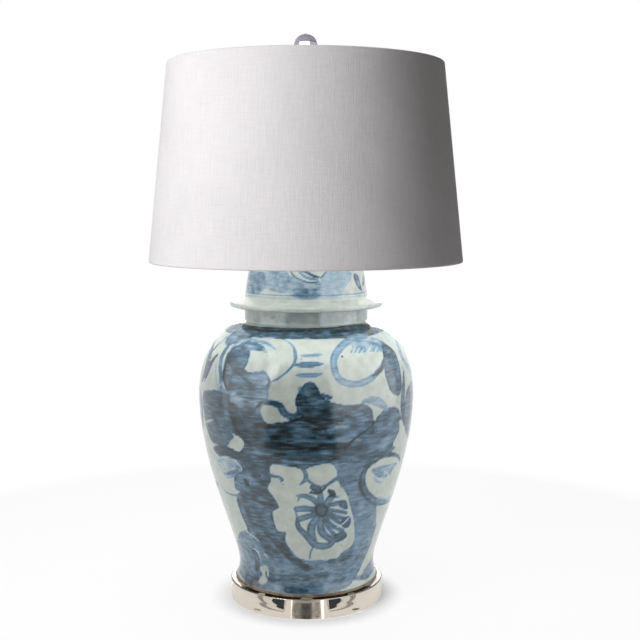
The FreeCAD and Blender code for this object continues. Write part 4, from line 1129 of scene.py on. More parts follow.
JAR_RESERVES: Marks = (
    # the flower's bare ground
    Patch(((-19, 231), (-12, 231.5), (-5.5, 229.5), (-2, 220), (-1.5, 211), (-3.5, 204), (1.5, 203),
        (8.5, 201.5), (13, 204), (17.5, 203), (23, 185.5), (27.5, 164.5), (32, 141), (36, 106), (27.5, 95),
        (24, 87.5), (12, 86), (-4, 88.5), (-10.5, 101), (-14.5, 115.5), (-13.5, 130), (-19.5, 133.5),
        (-21, 159), (-16.5, 168.5), (-19, 184.5), (-21.5, 196), (-19.5, 210)), BARE),
    Patch(((0.5, 227), (3.5, 231.5), (11.5, 234.5), (15, 229), (16, 217), (12, 209), (8, 204), (3.5, 209),
        (1, 217)), BARE),
    Stroke(((-3, 233, 6.7), (-0.5, 221.5, 6.7), (-1, 211, 6), (-3.5, 205, 3.3)), MID, rim=0.15),
    Stroke(((0.5, 212.5, 5.3), (4, 205, 4.7), (8, 201, 4.7), (12.5, 205.5, 5.3), (17, 212.5, 6.7),
        (20.5, 201, 8)), MID, rim=0.12),
    Stroke(((-20, 216.5, 5.3), (-16, 215.5, 5.3), (-13, 211.5, 4.7), (-14, 208.5, 2.7)), MID),
    # bare gaps round the shoulders
    Patch(((-37.5, 268), (-33.5, 259.5), (-37.5, 246), (-44, 254.5)), BARE),
    Patch(((-62.5, 219.5), (-56, 229), (-48.5, 234.5), (-40.5, 231), (-37, 219), (-42, 209.5), (-46.5, 196.5),
        (-47, 182.5), (-54, 177.5), (-63, 181.5), (-65.5, 195)), BARE),
    Patch(((37.5, 217.5), (42, 228.5), (51.5, 231.5), (64, 217), (80, 192.5), (79.5, 170.5), (62, 166.5),
        (46, 180), (41.5, 196)), BARE),
    Patch(((35.5, 294), (35.5, 306.5), (37.5, 307.5), (41.5, 302), (38, 294.5), (37, 289.5)), BARE),
    Patch(((57, 282.5), (62.5, 272.5), (64.5, 255.5), (62.5, 240.5), (53, 247), (55, 257.5), (57.5, 268)),
        BARE),
    Patch(((-23, 311), (-18, 317), (-14.5, 314), (-12.5, 302), (-13.5, 294.5), (-18, 291.5), (-21, 295)),
        BARE, iron=0.1),
    Stroke(((-68, 273.5, 2.1), (-61, 280, 2.7), (-56.5, 283.5, 1.3)), BARE),
    # the band over the bare leaf
    Stroke(((-24.5, 315.5, 5.3), (-18.5, 320, 8), (-14, 317.5, 9.3), (-11, 307.5, 10.6), (-7, 302.5, 8),
        (-4, 304.5, 4)), DEEP, streak=0.16),
    # bare strips between the arms and the edges
    Patch(((-65.5, 167.5), (-49, 175.5), (-49.5, 155), (-47, 131), (-41.5, 105), (-46, 120.5), (-55.5, 115.5),
        (-66, 114)), BARE),
    Patch(((50.5, 159), (67.5, 146), (71.5, 112.5), (75, 77.5), (68.5, 62.5), (57, 55), (47, 39.5),
        (39.5, 41.5), (48.5, 54.5), (55, 70), (59.5, 91), (58.5, 120)), BARE),
    Patch(((-41.5, 65.5), (-34, 70), (-32.5, 58), (-35.5, 44), (-43, 44), (-39, 55.5)), BARE),
)
JAR_FLOWER: Marks = (
    # the whorl: its curved petals, right tips and outer curve
    Stroke(((-5.5, 188, 3.3), (-1.5, 188, 7.3), (2.5, 184.5, 8.6), (6.5, 175, 8)), MID, rim=0.14),
    Stroke(((-4, 188, 3.3), (-4.5, 182.5, 2.7), (-5, 179, 1.3)), MID),
    Stroke(((8, 195.5, 4), (8, 186.5, 9.3), (8.5, 174, 8.6)), MID),
    Stroke(((15, 188.5, 8), (13.5, 181.5, 11.3), (11, 173.5, 8.6)), MID),
    Stroke(((-5.5, 167.5, 10.6), (-0.5, 168.5, 10.1), (5.5, 167, 8)), MID, rim=0.14),
    Stroke(((-6.5, 163, 2.9), (-5.5, 155, 3.5)), MID, rim=0.08),
    Stroke(((-4.5, 152, 10), (0.5, 156, 10), (6.5, 161.5, 6.7)), MID, rim=0.14),
    Stroke(((7.5, 156.5, 9.3), (4, 144.5, 12), (3, 132, 12), (5, 118, 9.3)), MID, rim=0.16),
    Stroke(((9, 154.5, 8), (9, 142, 10.6), (11.5, 127, 11.3), (18, 116.5, 9.3)), MID, rim=0.16),
    Stroke(((10.5, 155.5, 4.5), (13.5, 139.5, 6.1), (19.5, 124, 6.7)), MID, rim=0.14),
    Stroke(((12, 156.5, 4.8), (16.5, 140.5, 6.7), (24.5, 130, 6.7)), MID, rim=0.14),
    Stroke(((13, 158, 4.8), (18, 149, 6.4), (24.5, 139.5, 6.1)), MID, rim=0.14),
    Stroke(((13.5, 161, 4.8), (18.5, 154.5, 6.1), (24.5, 149, 5.9)), MID, rim=0.14),
    Stroke(((13, 166, 5.3), (18.5, 162.5, 6.7), (25, 157.5, 5.6)), MID, rim=0.14),
    Stroke(((12.5, 170, 5.3), (17, 174, 8), (22.5, 175, 7.3)), MID, rim=0.14),
    Patch(((20, 178.5), (23, 178.5), (25, 172), (25.5, 163), (21, 166.5), (19.5, 171.5)), DEEP, rim=0.1),
    Patch(((23.5, 149.5), (28, 151.5), (30, 143), (29, 134), (25, 134.5), (22.5, 142.5)), DEEP, rim=0.1),
    Patch(((19, 122.5), (22.5, 128), (27, 127.5), (29, 118.5), (24.5, 113), (20, 112.5)), DEEP, rim=0.14),
    Stroke(((-5.5, 152, 5.3), (-5, 139, 8.6), (-0.5, 127, 10), (3.5, 116.5, 11.3), (9, 108.5, 12),
        (15, 108, 11.3), (19, 114, 8)), MID, rim=0.16),
    Stroke(((20.5, 136.5, 1.1), (24, 140.5, 1.9), (28, 150, 1.3)), BARE),
    Stroke(((22.5, 183.5, 1.3), (26, 170, 2.1), (28.5, 156.5, 2.1), (32, 141, 2.1)), BARE),
    Stroke(((5, 108.5, 4), (3, 99, 2.9), (2.5, 88.5, 2.9)), MID),
    Patch(((5, 171), (8.5, 175.5), (12.5, 170), (13, 163), (11.5, 156), (8, 155), (5.5, 160.5)), DEEP,
        rim=0.3, streak=0.06),
    # the loaded brush's two blots over it
    Stroke(((3, 201, 6.7), (5.5, 198, 9.3), (8, 195.5, 5.3)), INK, rim=0.02, streak=0.24),
    Stroke(((4, 201, 4), (6.5, 198.5, 4)), MID, cover=0.7),
    Stroke(((2.5, 193, 4), (6, 192, 4), (9, 196, 3.5), (11, 200.5, 1.6)), INK, rim=0, iron=0.15),
    Stroke(((12.5, 195, 4), (14.5, 191.5, 8), (16, 187.5, 4)), INK, rim=0, streak=0.2),
    Stroke(((14, 194, 3.2), (15.5, 190.5, 3.2)), MID, cover=0.7),
    Stroke(((13, 186.5, 2.1), (16, 185, 2.7), (20.5, 185, 0.9)), INK, rim=0),
)
JAR_LEAVES: Marks = (
    # the left loop: its ring, dark head and combed fingers
    Stroke(((-15.5, 401, 3.3), (-10, 395.5, 4.7), (-7, 387.5, 6.4), (-6, 377.5, 5.3), (-8, 367, 4),
        (-12, 357, 3.5), (-16, 350, 3.7), (-18.5, 347, 2)), WASH, rim=0.2),
    Patch(((-50.5, 386.5), (-44.5, 396), (-34, 401.5), (-23.5, 402.5), (-14.5, 400), (-9, 393.5),
        (-7.5, 383.5), (-8, 373.5), (-11.5, 362), (-16.5, 352.5), (-19.5, 349.5), (-23.5, 359),
        (-29.5, 359.5), (-33.5, 361), (-32.5, 375.5), (-35, 385.5), (-40.5, 388.5), (-46.5, 386),
        (-47.5, 376.5)), BARE),
    Stroke(((-50.5, 379.5, 4), (-48.5, 391, 5.3), (-42, 398, 5.3), (-35, 399.5, 3.3)), WASH, rim=0.05),
    Patch(((-50, 378.5), (-49, 387), (-44, 391.5), (-38, 390.5), (-34, 382), (-33.5, 367.5), (-36, 359.5),
        (-40.5, 362), (-46.5, 368.5)), DEEP, rim=0.12, streak=0.18),
    Stroke(((-44, 391.5, 6.7), (-39.5, 395, 6.7), (-32.5, 393.5, 6), (-25.5, 388, 4.7), (-24, 386, 2)), MID,
        streak=0.2),
    Stroke(((-39, 389.5, 8), (-31.5, 390, 8), (-26.5, 388, 5.3)), MID, cover=0.85, rim=0.02, streak=0.2),
    Stroke(((-38.5, 386.5, 5.3), (-32.5, 387.5, 6), (-27, 387, 4.7), (-23, 384.5, 1.6)), MID, streak=0.2),
    Stroke(((-37, 396.5, 4.7), (-29.5, 397, 6), (-23, 394, 5.3), (-18.5, 389, 2.7)), WASH, streak=0.16),
    Patch(((-39.5, 360), (-33, 357.5), (-27, 359), (-22.5, 361.5), (-19, 353.5), (-18, 344), (-20.5, 334.5),
        (-29.5, 331.5), (-38.5, 334.5), (-42.5, 347)), MID, rim=0.1, streak=0.16),
    Patch(((-30.5, 355.5), (-26, 359.5), (-22, 360), (-19.5, 352), (-19.5, 345.5), (-25, 343), (-31, 346)),
        WASH, cover=0.8),
    Stroke(((-51.5, 378, 4), (-47.5, 368.5, 4), (-41, 359, 3.5), (-34.5, 350.5, 3.2), (-29, 343, 2.7)), INK,
        cover=0.55, rim=0, iron=0.1),
    Stroke(((-20, 353.5, 1.3), (-19, 348, 2.7), (-20, 341.5, 1.3)), INK, cover=0.8),
    # the fan under it
    Patch(((-40, 331.5), (-33.5, 340), (-25, 343), (-19.5, 337.5), (-19, 325.5), (-22.5, 315.5), (-29, 308.5),
        (-37.5, 308.5), (-42, 318.5)), MID, rim=0.12, streak=0.26),
    Stroke(((-22, 321, 1.3), (-24, 315.5, 3.2), (-25.5, 311.5, 1.6)), INK, cover=0.9),
    Stroke(((-40.5, 312, 6.7), (-35, 305.5, 8), (-30, 304, 8), (-25.5, 310.5, 4)), DARK, cover=0.6,
        streak=0.2),
    # the long curl down the left
    Stroke(((-56.5, 401, 5.3), (-55, 388, 8), (-55.5, 378.5, 9.3), (-53.5, 360, 8.6), (-50, 342, 8),
        (-46, 328, 6.7), (-40.5, 328.5, 2.7)), MID, streak=0.14),
    Stroke(((-52, 330, 2.7), (-50, 336.5, 1.3)), BARE),
    Stroke(((-49, 368, 1.9), (-49, 353.5, 3.5), (-46.5, 339, 3.7), (-43.5, 330.5, 2.7)), INK, cover=0.9,
        iron=0.15),
    Stroke(((-58.5, 364, 3.3), (-55.5, 347, 3.3), (-51.5, 330.5, 3.3)), MID, cover=0.6),
    Stroke(((-69.5, 388.5, 2.9), (-70, 380, 5.3), (-73, 372, 2.1)), DARK, streak=0.2),
    Stroke(((-61, 373.5, 4), (-64, 365, 9.3), (-65, 350.5, 8), (-68.5, 333.5, 2.1)), DARK, streak=0.2),
    Stroke(((-80.5, 359, 2.7), (-75.5, 324.5, 4), (-77.5, 272, 5.3), (-86.5, 214, 5.3)), WASH, cover=0.7),
    # three short pulls in the middle
    Stroke(((-3, 382, 2.7), (1.5, 381.5, 5.3), (5.5, 382.5, 5.9), (9, 383, 2.7)), WASH, rim=0.12),
    Stroke(((-6, 370, 4), (-1.5, 370.5, 8.6), (4, 371, 8.2), (9, 371.5, 2.7)), MID, rim=0.12),
    Stroke(((-5, 357, 4), (-0.5, 357, 6.9), (4.5, 357, 6.7), (8.5, 359, 2.1)), WASH, rim=0.12),
    # the right ring and its comb
    Patch(((30.5, 402.5), (41.5, 404), (51, 399.5), (59, 389.5), (58, 383), (49, 380), (38.5, 382.5),
        (30, 382.5), (26, 383), (29, 391.5), (24.5, 393.5)), WASH, rim=0.05, streak=0.18),
    Stroke(((43, 402, 10.6), (31, 400, 11.3), (21.5, 391.5, 11.3), (15.5, 378, 10.6), (15, 363, 10.6),
        (18, 349, 10.6), (24.5, 343, 10.6), (32, 345.5, 10), (39.5, 354, 8.6), (46.5, 366, 6.7)), WASH,
        rim=0.12, streak=0.1),
    Stroke(((48, 368.5, 6.7), (45, 361, 7.3), (41, 355.5, 5.3), (36.5, 351.5, 2)), INK, cover=0.85, iron=0.2),
    Stroke(((46.5, 359.5, 1.1), (43, 352.5, 2.1), (38, 347, 1.1)), BARE),
    Stroke(((25.5, 377, 3.2), (28, 383.5, 2.7), (31.5, 392.5, 1.3)), BARE),
    Stroke(((28, 377, 3.2), (31, 384, 2.1), (34, 389, 1.1)), BARE),
    Stroke(((32, 378, 2.7), (34, 383.5, 1.7), (36, 386.5, 0.9)), BARE),
    Stroke(((36, 379, 3.5), (39.5, 384.5, 2.1), (44, 390.5, 1.1)), BARE),
    Stroke(((43.5, 379.5, 4), (45, 383.5, 1.9), (47.5, 386.5, 1.1)), BARE),
    Stroke(((31, 397.5, 4), (39.5, 396.5, 3.3), (47, 392, 4), (56.5, 387.5, 4)), MID, cover=0.5, streak=0.2),
    # the tall right leaf, and the band beyond it
    Patch(((54, 389.5), (59.5, 386), (62.5, 378), (62, 364), (60.5, 348), (59, 330), (56.5, 320),
        (52.5, 319.5), (48, 327.5), (46, 342), (46, 358), (48.5, 373.5)), DEEP, rim=0.12, streak=0.16),
    Stroke(((57.5, 380.5, 4), (55, 367.5, 6.7), (52, 349.5, 5.3)), MID, cover=0.5, streak=0.2),
    Stroke(((64, 348, 3.3), (61.5, 330.5, 9.3), (59.5, 310, 13.3), (60, 292.5, 12), (63, 274, 5.3)), DEEP,
        rim=0.14, streak=0.18),
    Stroke(((64, 357.5, 2), (65, 347.5, 5.3)), WASH, cover=0.9),
    Patch(((28, 317), (30, 322.5), (35, 324.5), (40.5, 321), (44.5, 310.5), (46, 301.5), (41.5, 304.5),
        (36.5, 310.5), (32.5, 314.5)), WASH, streak=0.08),
    Stroke(((79.5, 359.5, 2.7), (73, 318.5, 5.3), (73, 274.5, 5.3), (72, 215.5, 6.7), (79.5, 166, 5.3)), WASH,
        cover=0.6),
    Stroke(((66, 397.5, 2.7), (70.5, 386.5, 4), (71.5, 369.5, 4), (70.5, 351.5, 2.7)), WASH, cover=0.5),
    Stroke(((7.5, 332, 4), (10.5, 329, 5.3), (12.5, 327.5, 3.3), (10.5, 325, 4)), MID),
    # the left round: hair strokes and a thin rim
    Patch(((-57.5, 225.5), (-45.5, 233), (-40, 226.5), (-37.5, 219), (-41.5, 208.5), (-51, 200.5),
        (-56.5, 209.5)), WASH, cover=0.85, streak=0.24),
    Stroke(((-56, 220.5, 2), (-52.5, 216, 2.1), (-49, 216.5, 1.3)), BARE),
    Stroke(((-56, 213, 1.6), (-52.5, 210, 2.1), (-47, 214.5, 1.9), (-42.5, 221, 1.1)), BARE),
    Stroke(((-49.5, 209, 5.3), (-45, 212.5, 6.7), (-40.5, 217.5, 4)), MID, cover=0.9),
    Stroke(((-63.5, 184, 1.3), (-58, 175.5, 2.1), (-48, 176, 3.5), (-39.5, 186.5, 2.9)), MID),
    Patch(((-44, 207), (-38, 216.5), (-31.5, 217), (-30, 205.5), (-34, 191.5), (-41.5, 184), (-46, 188)), MID,
        rim=0.14, streak=0.14),
    Stroke(((-36.5, 203.5, 4.8), (-35.5, 200.5, 6.7), (-35, 197.5, 4.8)), INK, cover=0.8, iron=0.7),
    # the right round: its leaf and the crescent under it
    Patch(((38, 217.5), (43, 221), (54, 220), (63, 216.5), (58.5, 210), (56, 202), (49, 201), (43, 206)),
        WASH, rim=0.14, streak=0.16),
    Stroke(((49, 210.5, 1.2), (54.5, 203, 2.1)), BARE),
    Stroke(((41, 205.5, 2.7), (45, 197.5, 3.3), (49.5, 193.5, 2)), WASH, cover=0.8),
    Stroke(((34.5, 226, 6.7), (32.5, 212, 10.6), (34, 193.5, 12), (40, 177, 12), (52, 162, 10.6),
        (69.5, 154, 4)), DEEP, rim=0.16, streak=0.14, cover=0.9),
    Stroke(((49.5, 169, 8), (65.5, 158, 6.7), (79, 159.5, 2.7)), WASH, cover=0.7),
    Stroke(((31.5, 209.5, 2.1), (33, 193.5, 2.9), (37.5, 178, 2.1)), DARK, cover=0.7),
    Stroke(((39.5, 228.5, 4), (45, 235, 6.7), (54, 233.5, 6.7), (67.5, 216.5, 4)), DEEP, streak=0.14),
    # the curls and the leaf low on the left
    Stroke(((-46.5, 120, 1.9), (-41, 115.5, 2.4), (-36, 109, 1.3)), BARE),
    Stroke(((-47.5, 95, 2.1), (-42.5, 93.5, 2.4), (-39, 82.5, 1.3)), BARE),
    Stroke(((-33.5, 89, 2.4), (-30.5, 84, 1.3)), BARE),
    Stroke(((-35, 60.5, 2.7), (-34, 53, 3.2), (-28, 50.5, 3.2), (-21, 54, 2.1)), DARK, cover=0.8),
    Stroke(((43, 47, 5.3), (50.5, 45.5, 8), (63.5, 41.5, 5.3)), MID, cover=0.7, iron=0.2),
    Stroke(((76.5, 58, 4), (76, 40, 5.3), (70, 30.5, 5.3)), WASH, cover=0.6),
)
JAR_SIDE: Marks = (
    # between the front and the back: a mass, a leaf on each side of its stem and a ring over it
    Patch(((-30, 318), (-18, 330), (-4, 322), (8, 332), (22, 322), (30, 300), (26, 262), (12, 246), (-4, 240),
        (-22, 250), (-32, 280)), DEEP, streak=0.2),
    Stroke(((-24, 300, 14), (-4, 292, 20), (18, 300, 14)), DARK, cover=0.7, streak=0.25),
    Stroke(((-2, 250, 40), (-5, 200, 30), (2, 150, 34), (0, 100, 40), (3, 66, 50)), MID, streak=0.16),
    Stroke(((-3, 244, 22), (-6, 205, 18), (-1, 165, 16)), DEEP, cover=0.7, streak=0.22),
    Patch(((4, 205), (14, 222), (26, 224), (33, 206), (26, 186), (14, 182)), BARE),
    Patch(((-10, 170), (-20, 186), (-32, 182), (-34, 160), (-24, 146), (-14, 150)), BARE),
    Stroke(((8, 203, 4), (18, 210, 11), (28, 208, 4)), WASH, streak=0.2),
    Stroke(((-13, 166, 4), (-22, 168, 11), (-30, 162, 4)), WASH, streak=0.2),
    Stroke(((4, 180, 6), (16, 172, 10), (30, 182, 7)), DEEP, rim=0.14),
    Patch(((-16, 296), (-6, 282), (4, 262), (0, 290), (-8, 302)), BARE),
    Stroke(((-14, 388, 10), (-24, 372, 11), (-20, 352, 11), (-4, 342, 10), (10, 350, 9), (16, 366, 7),
        (12, 380, 4)), WASH, rim=0.14),
    Stroke(((20, 386, 6), (28, 366, 18), (30, 346, 16), (26, 332, 5)), DEEP, rim=0.12, streak=0.16),
    Stroke(((-12, 366, 3), (-3, 367, 7), (7, 366, 3)), MID),
)
LID_FRONT: Marks = (
    # washes that leave a bare triangle at the right
    Patch(((-88, 487.5), (-48, 491), (-18.5, 492.5), (-16.5, 466.5), (-21.5, 461.5), (-33, 464), (-40, 467),
        (-50, 458.5), (-67.5, 458), (-80, 469.5)), WASH, cover=0.95, rim=0.02, streak=0.14),
    Patch(((-16.5, 486), (-6.5, 480.5), (5.5, 476.5), (13, 479), (13.5, 457), (0, 453), (-9, 455.5),
        (-16.5, 463.5)), WASH, cover=0.85, rim=0, streak=0.16),
    Patch(((-13, 465), (-5.5, 471), (5.5, 468), (13, 472), (12.5, 458.5), (0, 455), (-9, 457.5)), MID,
        cover=0.55, rim=0, streak=0.2),
    Patch(((14, 480.5), (21.5, 492.5), (47.5, 491), (48, 480), (40, 469), (32.5, 458), (22, 456),
        (13.5, 455.5)), WASH, cover=0.8, rim=0),
    Stroke(((-68.5, 489.5, 6.7), (-68, 476.5, 6.7), (-62, 465.5, 4), (-55, 458, 2)), DEEP, streak=0.16),
    Stroke(((-87.5, 486, 2.7), (-85, 463, 3.3)), WASH, cover=0.7),
    # a blue wash over the lid's left side, laid deeper there as painted shade on that side
    Patch(((-87.5, 487), (-51, 491), (-41, 477.5), (-45, 464.5), (-74.5, 460)), MID, cover=0.7, rim=0,
        streak=0.14),
    Patch(((52.5, 486.5), (60.5, 484.5), (63.5, 471.5), (65, 461), (57.5, 466), (53, 476.5)), MID, rim=0.12,
        streak=0.12),
    # painted shade: the bare triangle is browned with iron to darken it under the lamp shade's shadow
    Patch(((35.5, 460), (42, 469), (48.5, 477.5), (53.5, 469.5), (60.5, 456.5), (47, 457.5)), BARE, iron=0.2),
    # the roundel over the wall and the shoulder
    Patch(((-15.5, 492.5), (-12.5, 487), (-6.5, 481), (0, 478), (6.5, 477.5), (12, 479.5), (15.5, 492.5)),
        BARE),
    Stroke(((-4, 493, 3.3), (2, 490, 4), (6.5, 486.5, 4), (12, 484.5, 2.7)), DEEP),
    Stroke(((-7.5, 493, 2.7), (-2, 486, 4), (5.5, 482, 4), (11, 481.5, 2.7)), MID, cover=0.8),
    Stroke(((-15, 492, 1.9), (-10.5, 485, 2.4), (-3, 479.5, 2.1), (3.5, 477, 2.4), (11, 478.5, 1.9)), DEEP),
    Stroke(((13.5, 483, 1.6), (17, 488, 2.1), (20, 492.5, 1.3)), DEEP),
)
LID_ROUND: Marks = (
    # petals on the dome, and a leaf between the washes of the wall
    *(
        Stroke(((turn, 502, 9), (turn + 5, 512, 15), (turn + 2, 522, 6)), WASH, rim=0.12)
        for turn in range(-180, 180, 30)
    ),
    *(
        Stroke(((turn, 470, 6), (turn + 9, 480, 13), (turn + 20, 484, 5)), MID, rim=0.12)
        for turn in (70, 110, 250, 290)
    ),
)


def turned(marks: Marks, by: float) -> list[Mark]:
    """The same marks further round the wall.

    Args:
        marks: Strokes and patches.
        by: How far, in degrees.

    Returns:
        The moved marks.
    """
    return [replace(mark, points=tuple((turn + by, *rest) for turn, *rest in mark.points)) for mark in marks]


def ring(height: float, width: float, tone: Tone, **looks: float) -> Stroke:
    """A stroke laid while the pot turns once on the wheel.

    Args:
        height: Its height, in millimetres.
        width: Its width, in millimetres.
        tone: How much cobalt it leaves.
        looks: Any other of a stroke's attributes.

    Returns:
        The stroke.
    """
    wavy = random.Random(round(height))
    steps = 24
    way = []
    for step in range(steps):
        turn = -180 + 360 / steps * step
        way.append((turn, height + wavy.uniform(-0.5, 0.5), width * wavy.uniform(0.85, 1.1)))
    return Stroke((*way, (180.0, *way[0][1:])), tone, **looks)


def jar_painting() -> list[Mark]:
    """The jar's marks in the order in which they are laid; the back repeats the front."""
    marks = [
        ring(58.0, 34.0, MID, streak=0.14),
        ring(409.0, 24.0, DEEP, streak=0.24, iron=0.1),
        # painted shade: a grey ring with iron brown darkens the neck under the lid's brim
        ring(428.0, 18.0, MIST, cover=0.62, iron=0.34, rim=0.0),
        *turned(JAR_SIDE, 94.0),
        *turned(JAR_SIDE, -100.0),
    ]
    front = [*JAR_MASSES, *JAR_BAND, *JAR_RESERVES, *JAR_FLOWER, *JAR_LEAVES]
    marks += turned(front, 180.0) + front
    stains = (
        (((-39, 430, 3), (-34, 426, 5), (-29, 429, 3)), 0.55),
        (((-36, 424, 2), (-31, 421, 3), (-27, 424, 1.5)), 0.4),
        (((38, 430, 2), (43, 424, 6), (45, 419, 3)), 0.22),
    )
    return marks + [Stroke(way, BARE, cover=0.7, iron=iron) for way, iron in stains]


def lid_painting() -> list[Mark]:
    """The lid's marks in the order in which they are laid."""
    return [
        *LID_ROUND,
        *turned(LID_FRONT, 180.0),
        *LID_FRONT,
        ring(458.8, 1.5, MID, cover=0.85),
        ring(455.0, 1.0, WASH, cover=0.8),
        ring(449.6, 1.2, BARE, iron=0.35, cover=0.7),
    ]


# ---- the porcelain


@dataclass
class Jar:
    """The thrown and painted jar.

    Attributes:
        wall: The wall's thickness.
        floor: The floor's thickness.
        hole: The radius of the pipe's hole.
        foot_width: How wide the foot ring is.
        foot_recess: How far the floor is raised inside it.
        foot_bevel: The bevel round the foot.
        neck_length: How long the upright neck is.
        rim_round: How round the neck's rim is.
        glaze_line: How far up the glaze was wiped off the foot, above the table.
        rows: Rows of faces up the painted wall.
        columns: Faces round it.
        crowding: How far those crowd towards the front.
        stations: Heights above the foot at which the wall's radius is read from the CAD node.
        neck_station: How far above the neck's foot the last one is.
    """

    wall: float = 7.0
    floor: float = 8.0
    hole: float = 6.5
    foot_width: float = 10.0
    foot_recess: float = 5.0
    foot_bevel: float = 1.8
    neck_length: float = 20.5
    rim_round: float = 1.2
    glaze_line: float = 36.4
    rows: int = 188
    columns: int = 440
    crowding: float = 0.22
    stations: tuple[float, ...] = (
        1.8, 9.0, 21.5, 38.0, 55.0, 88.0, 124.0, 170.0, 215.0, 260.0, 300.0, 333.0, 353.0, 370.5, 380.0,
    )
    neck_station: float = 2.0

    def outline(self) -> tuple[Outline, Outline]:
        """The painted wall's outline, and the whole outline that it is part of, in metres."""
        low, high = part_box("jar_body")
        level, top = low[2], (high[2] - low[2]) / MM
        neck_foot = top - self.neck_length
        stations = [*self.stations, neck_foot + self.neck_station]
        radii = node_silhouette("jar_body", [level + height * MM for height in stations])
        points = [(radius / MM, height) for radius, height in zip(radii, [*self.stations, neck_foot])]
        neck = points[-1][0]
        outer = [tuple(point) for point in smooth_curve(points, self.rows)]
        outer += straight(outer[-1], (neck, top - self.rim_round), 9)
        rim = arc(outer[-1], (neck - self.rim_round, top), self.rim_round, steps=4)
        inner_neck = neck - self.wall
        rim += [(inner_neck, top), *straight((inner_neck, top), (inner_neck, neck_foot), 2)]
        inside = [(radius - self.wall, height) for radius, height in reversed(points[2:-1])]
        floor_top, foot_inside = self.foot_recess + self.floor, points[0][0] - self.foot_width
        under = [(points[1][0] - self.wall, floor_top), (self.hole, floor_top), (self.hole, self.foot_recess)]
        under += [(foot_inside, self.foot_recess), (foot_inside, 0.0), (points[0][0] - self.foot_bevel, 0.0)]
        return in_metres(outer, level), in_metres([*outer, *rim, *inside, *under], level)

    def build(self) -> None:
        """Turns and paints the jar."""
        painted, outline = self.outline()
        shape = Turned(outline, self.columns, self.crowding).mesh()
        jar = finish_piece(shape, "painted_jar", PORCELAIN, "base", sharp=50.0)
        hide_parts("jar_body")
        wall = Wall(jar.data, painted)
        wall.paint(jar_painting())
        wall.wipe_foot(self.glaze_line)
        wall.keep()


@dataclass
class Lid:
    """The painted lid: a rim inside the neck, a wide rounded brim, a wall and a flat-topped dome.

    Attributes:
        rim_depth: How far the rim reaches into the neck; rim_wall and rim_radius are its wall and outside.
        brim_radius: The brim's outside; brim_edge is its thickness and brim_rise how far its top slopes up.
        brim_cove: The hollow between the brim and the wall; cove_round is its radius in parts of it.
        foot_radius: The wall's radius at its foot.
        crown_radius: Its radius at its top, crown_height above the brim's underside.
        top_radius: The flat top's radius.
        round_radius: How round the dome is between them.
        height: From the brim's underside to the flat top.
        hole: The radius of the pipe's hole.
        wall: The wall's thickness.
        columns: Faces round it.
        crowding: How far those crowd towards the front.
    """

    rim_depth: float = 12.0
    rim_wall: float = 5.5
    rim_radius: float = 82.1
    brim_radius: float = 112.6
    brim_edge: float = 8.0
    brim_rise: float = 5.2
    brim_cove: float = 2.8
    cove_round: float = 1.2
    foot_radius: float = 89.8
    crown_radius: float = 82.0
    crown_height: float = 68.0
    top_radius: float = 42.0
    round_radius: float = 46.0
    height: float = 94.6
    hole: float = 6.5
    wall: float = 6.0
    columns: int = 400
    crowding: float = 0.2

    def outline(self) -> tuple[Outline, Outline]:
        """The painted outside's outline, and the whole outline that it is part of, in metres."""
        level, seat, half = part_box("jar_lid")[0][2], self.rim_depth, self.brim_edge / 2
        crown, top = seat + self.crown_height, seat + self.height
        slope_foot = (self.brim_radius - half, seat + self.brim_edge)
        slope_top = (self.foot_radius + self.brim_cove, seat + self.brim_edge + self.brim_rise)
        wall_foot = (self.foot_radius, slope_top[1] + self.brim_cove)
        under = (self.brim_radius - half, seat)
        outer = [under, *arc(under, slope_foot, half + 0.001, steps=14), *straight(slope_foot, slope_top, 8)]
        outer += arc(slope_top, wall_foot, self.brim_cove * self.cove_round, side=-1, steps=4)
        outer += straight(wall_foot, (self.crown_radius, crown), 28)
        outer += arc(outer[-1], (self.top_radius, top), self.round_radius, steps=22)
        flat = straight(outer[-1], (self.hole, top), 10)
        inside_top, inside_crown = (self.top_radius, top - self.wall), (self.crown_radius - self.wall, crown)
        rim_inside = self.rim_radius - self.rim_wall
        inner = [(self.hole, top - self.wall), inside_top]
        inner += arc(inside_top, inside_crown, self.round_radius - self.wall, side=-1, steps=8)
        inner += [(self.foot_radius - self.wall, seat + self.brim_edge), (rim_inside, seat + 2.0)]
        inner += [(rim_inside, 0.0), (self.rim_radius, 0.0), (self.rim_radius, seat)]
        return in_metres(outer + flat, level), in_metres(outer + flat + inner, level)

    def build(self) -> None:
        """Turns and paints the lid."""
        painted, outline = self.outline()
        shape = Turned(outline, self.columns, self.crowding).mesh()
        lid = finish_piece(shape, "painted_lid", LID_PORCELAIN, "base", sharp=50.0)
        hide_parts("jar_lid")
        wall = Wall(lid.data, painted)
        wall.paint(lid_painting())
        wall.keep()


# ---- the shade


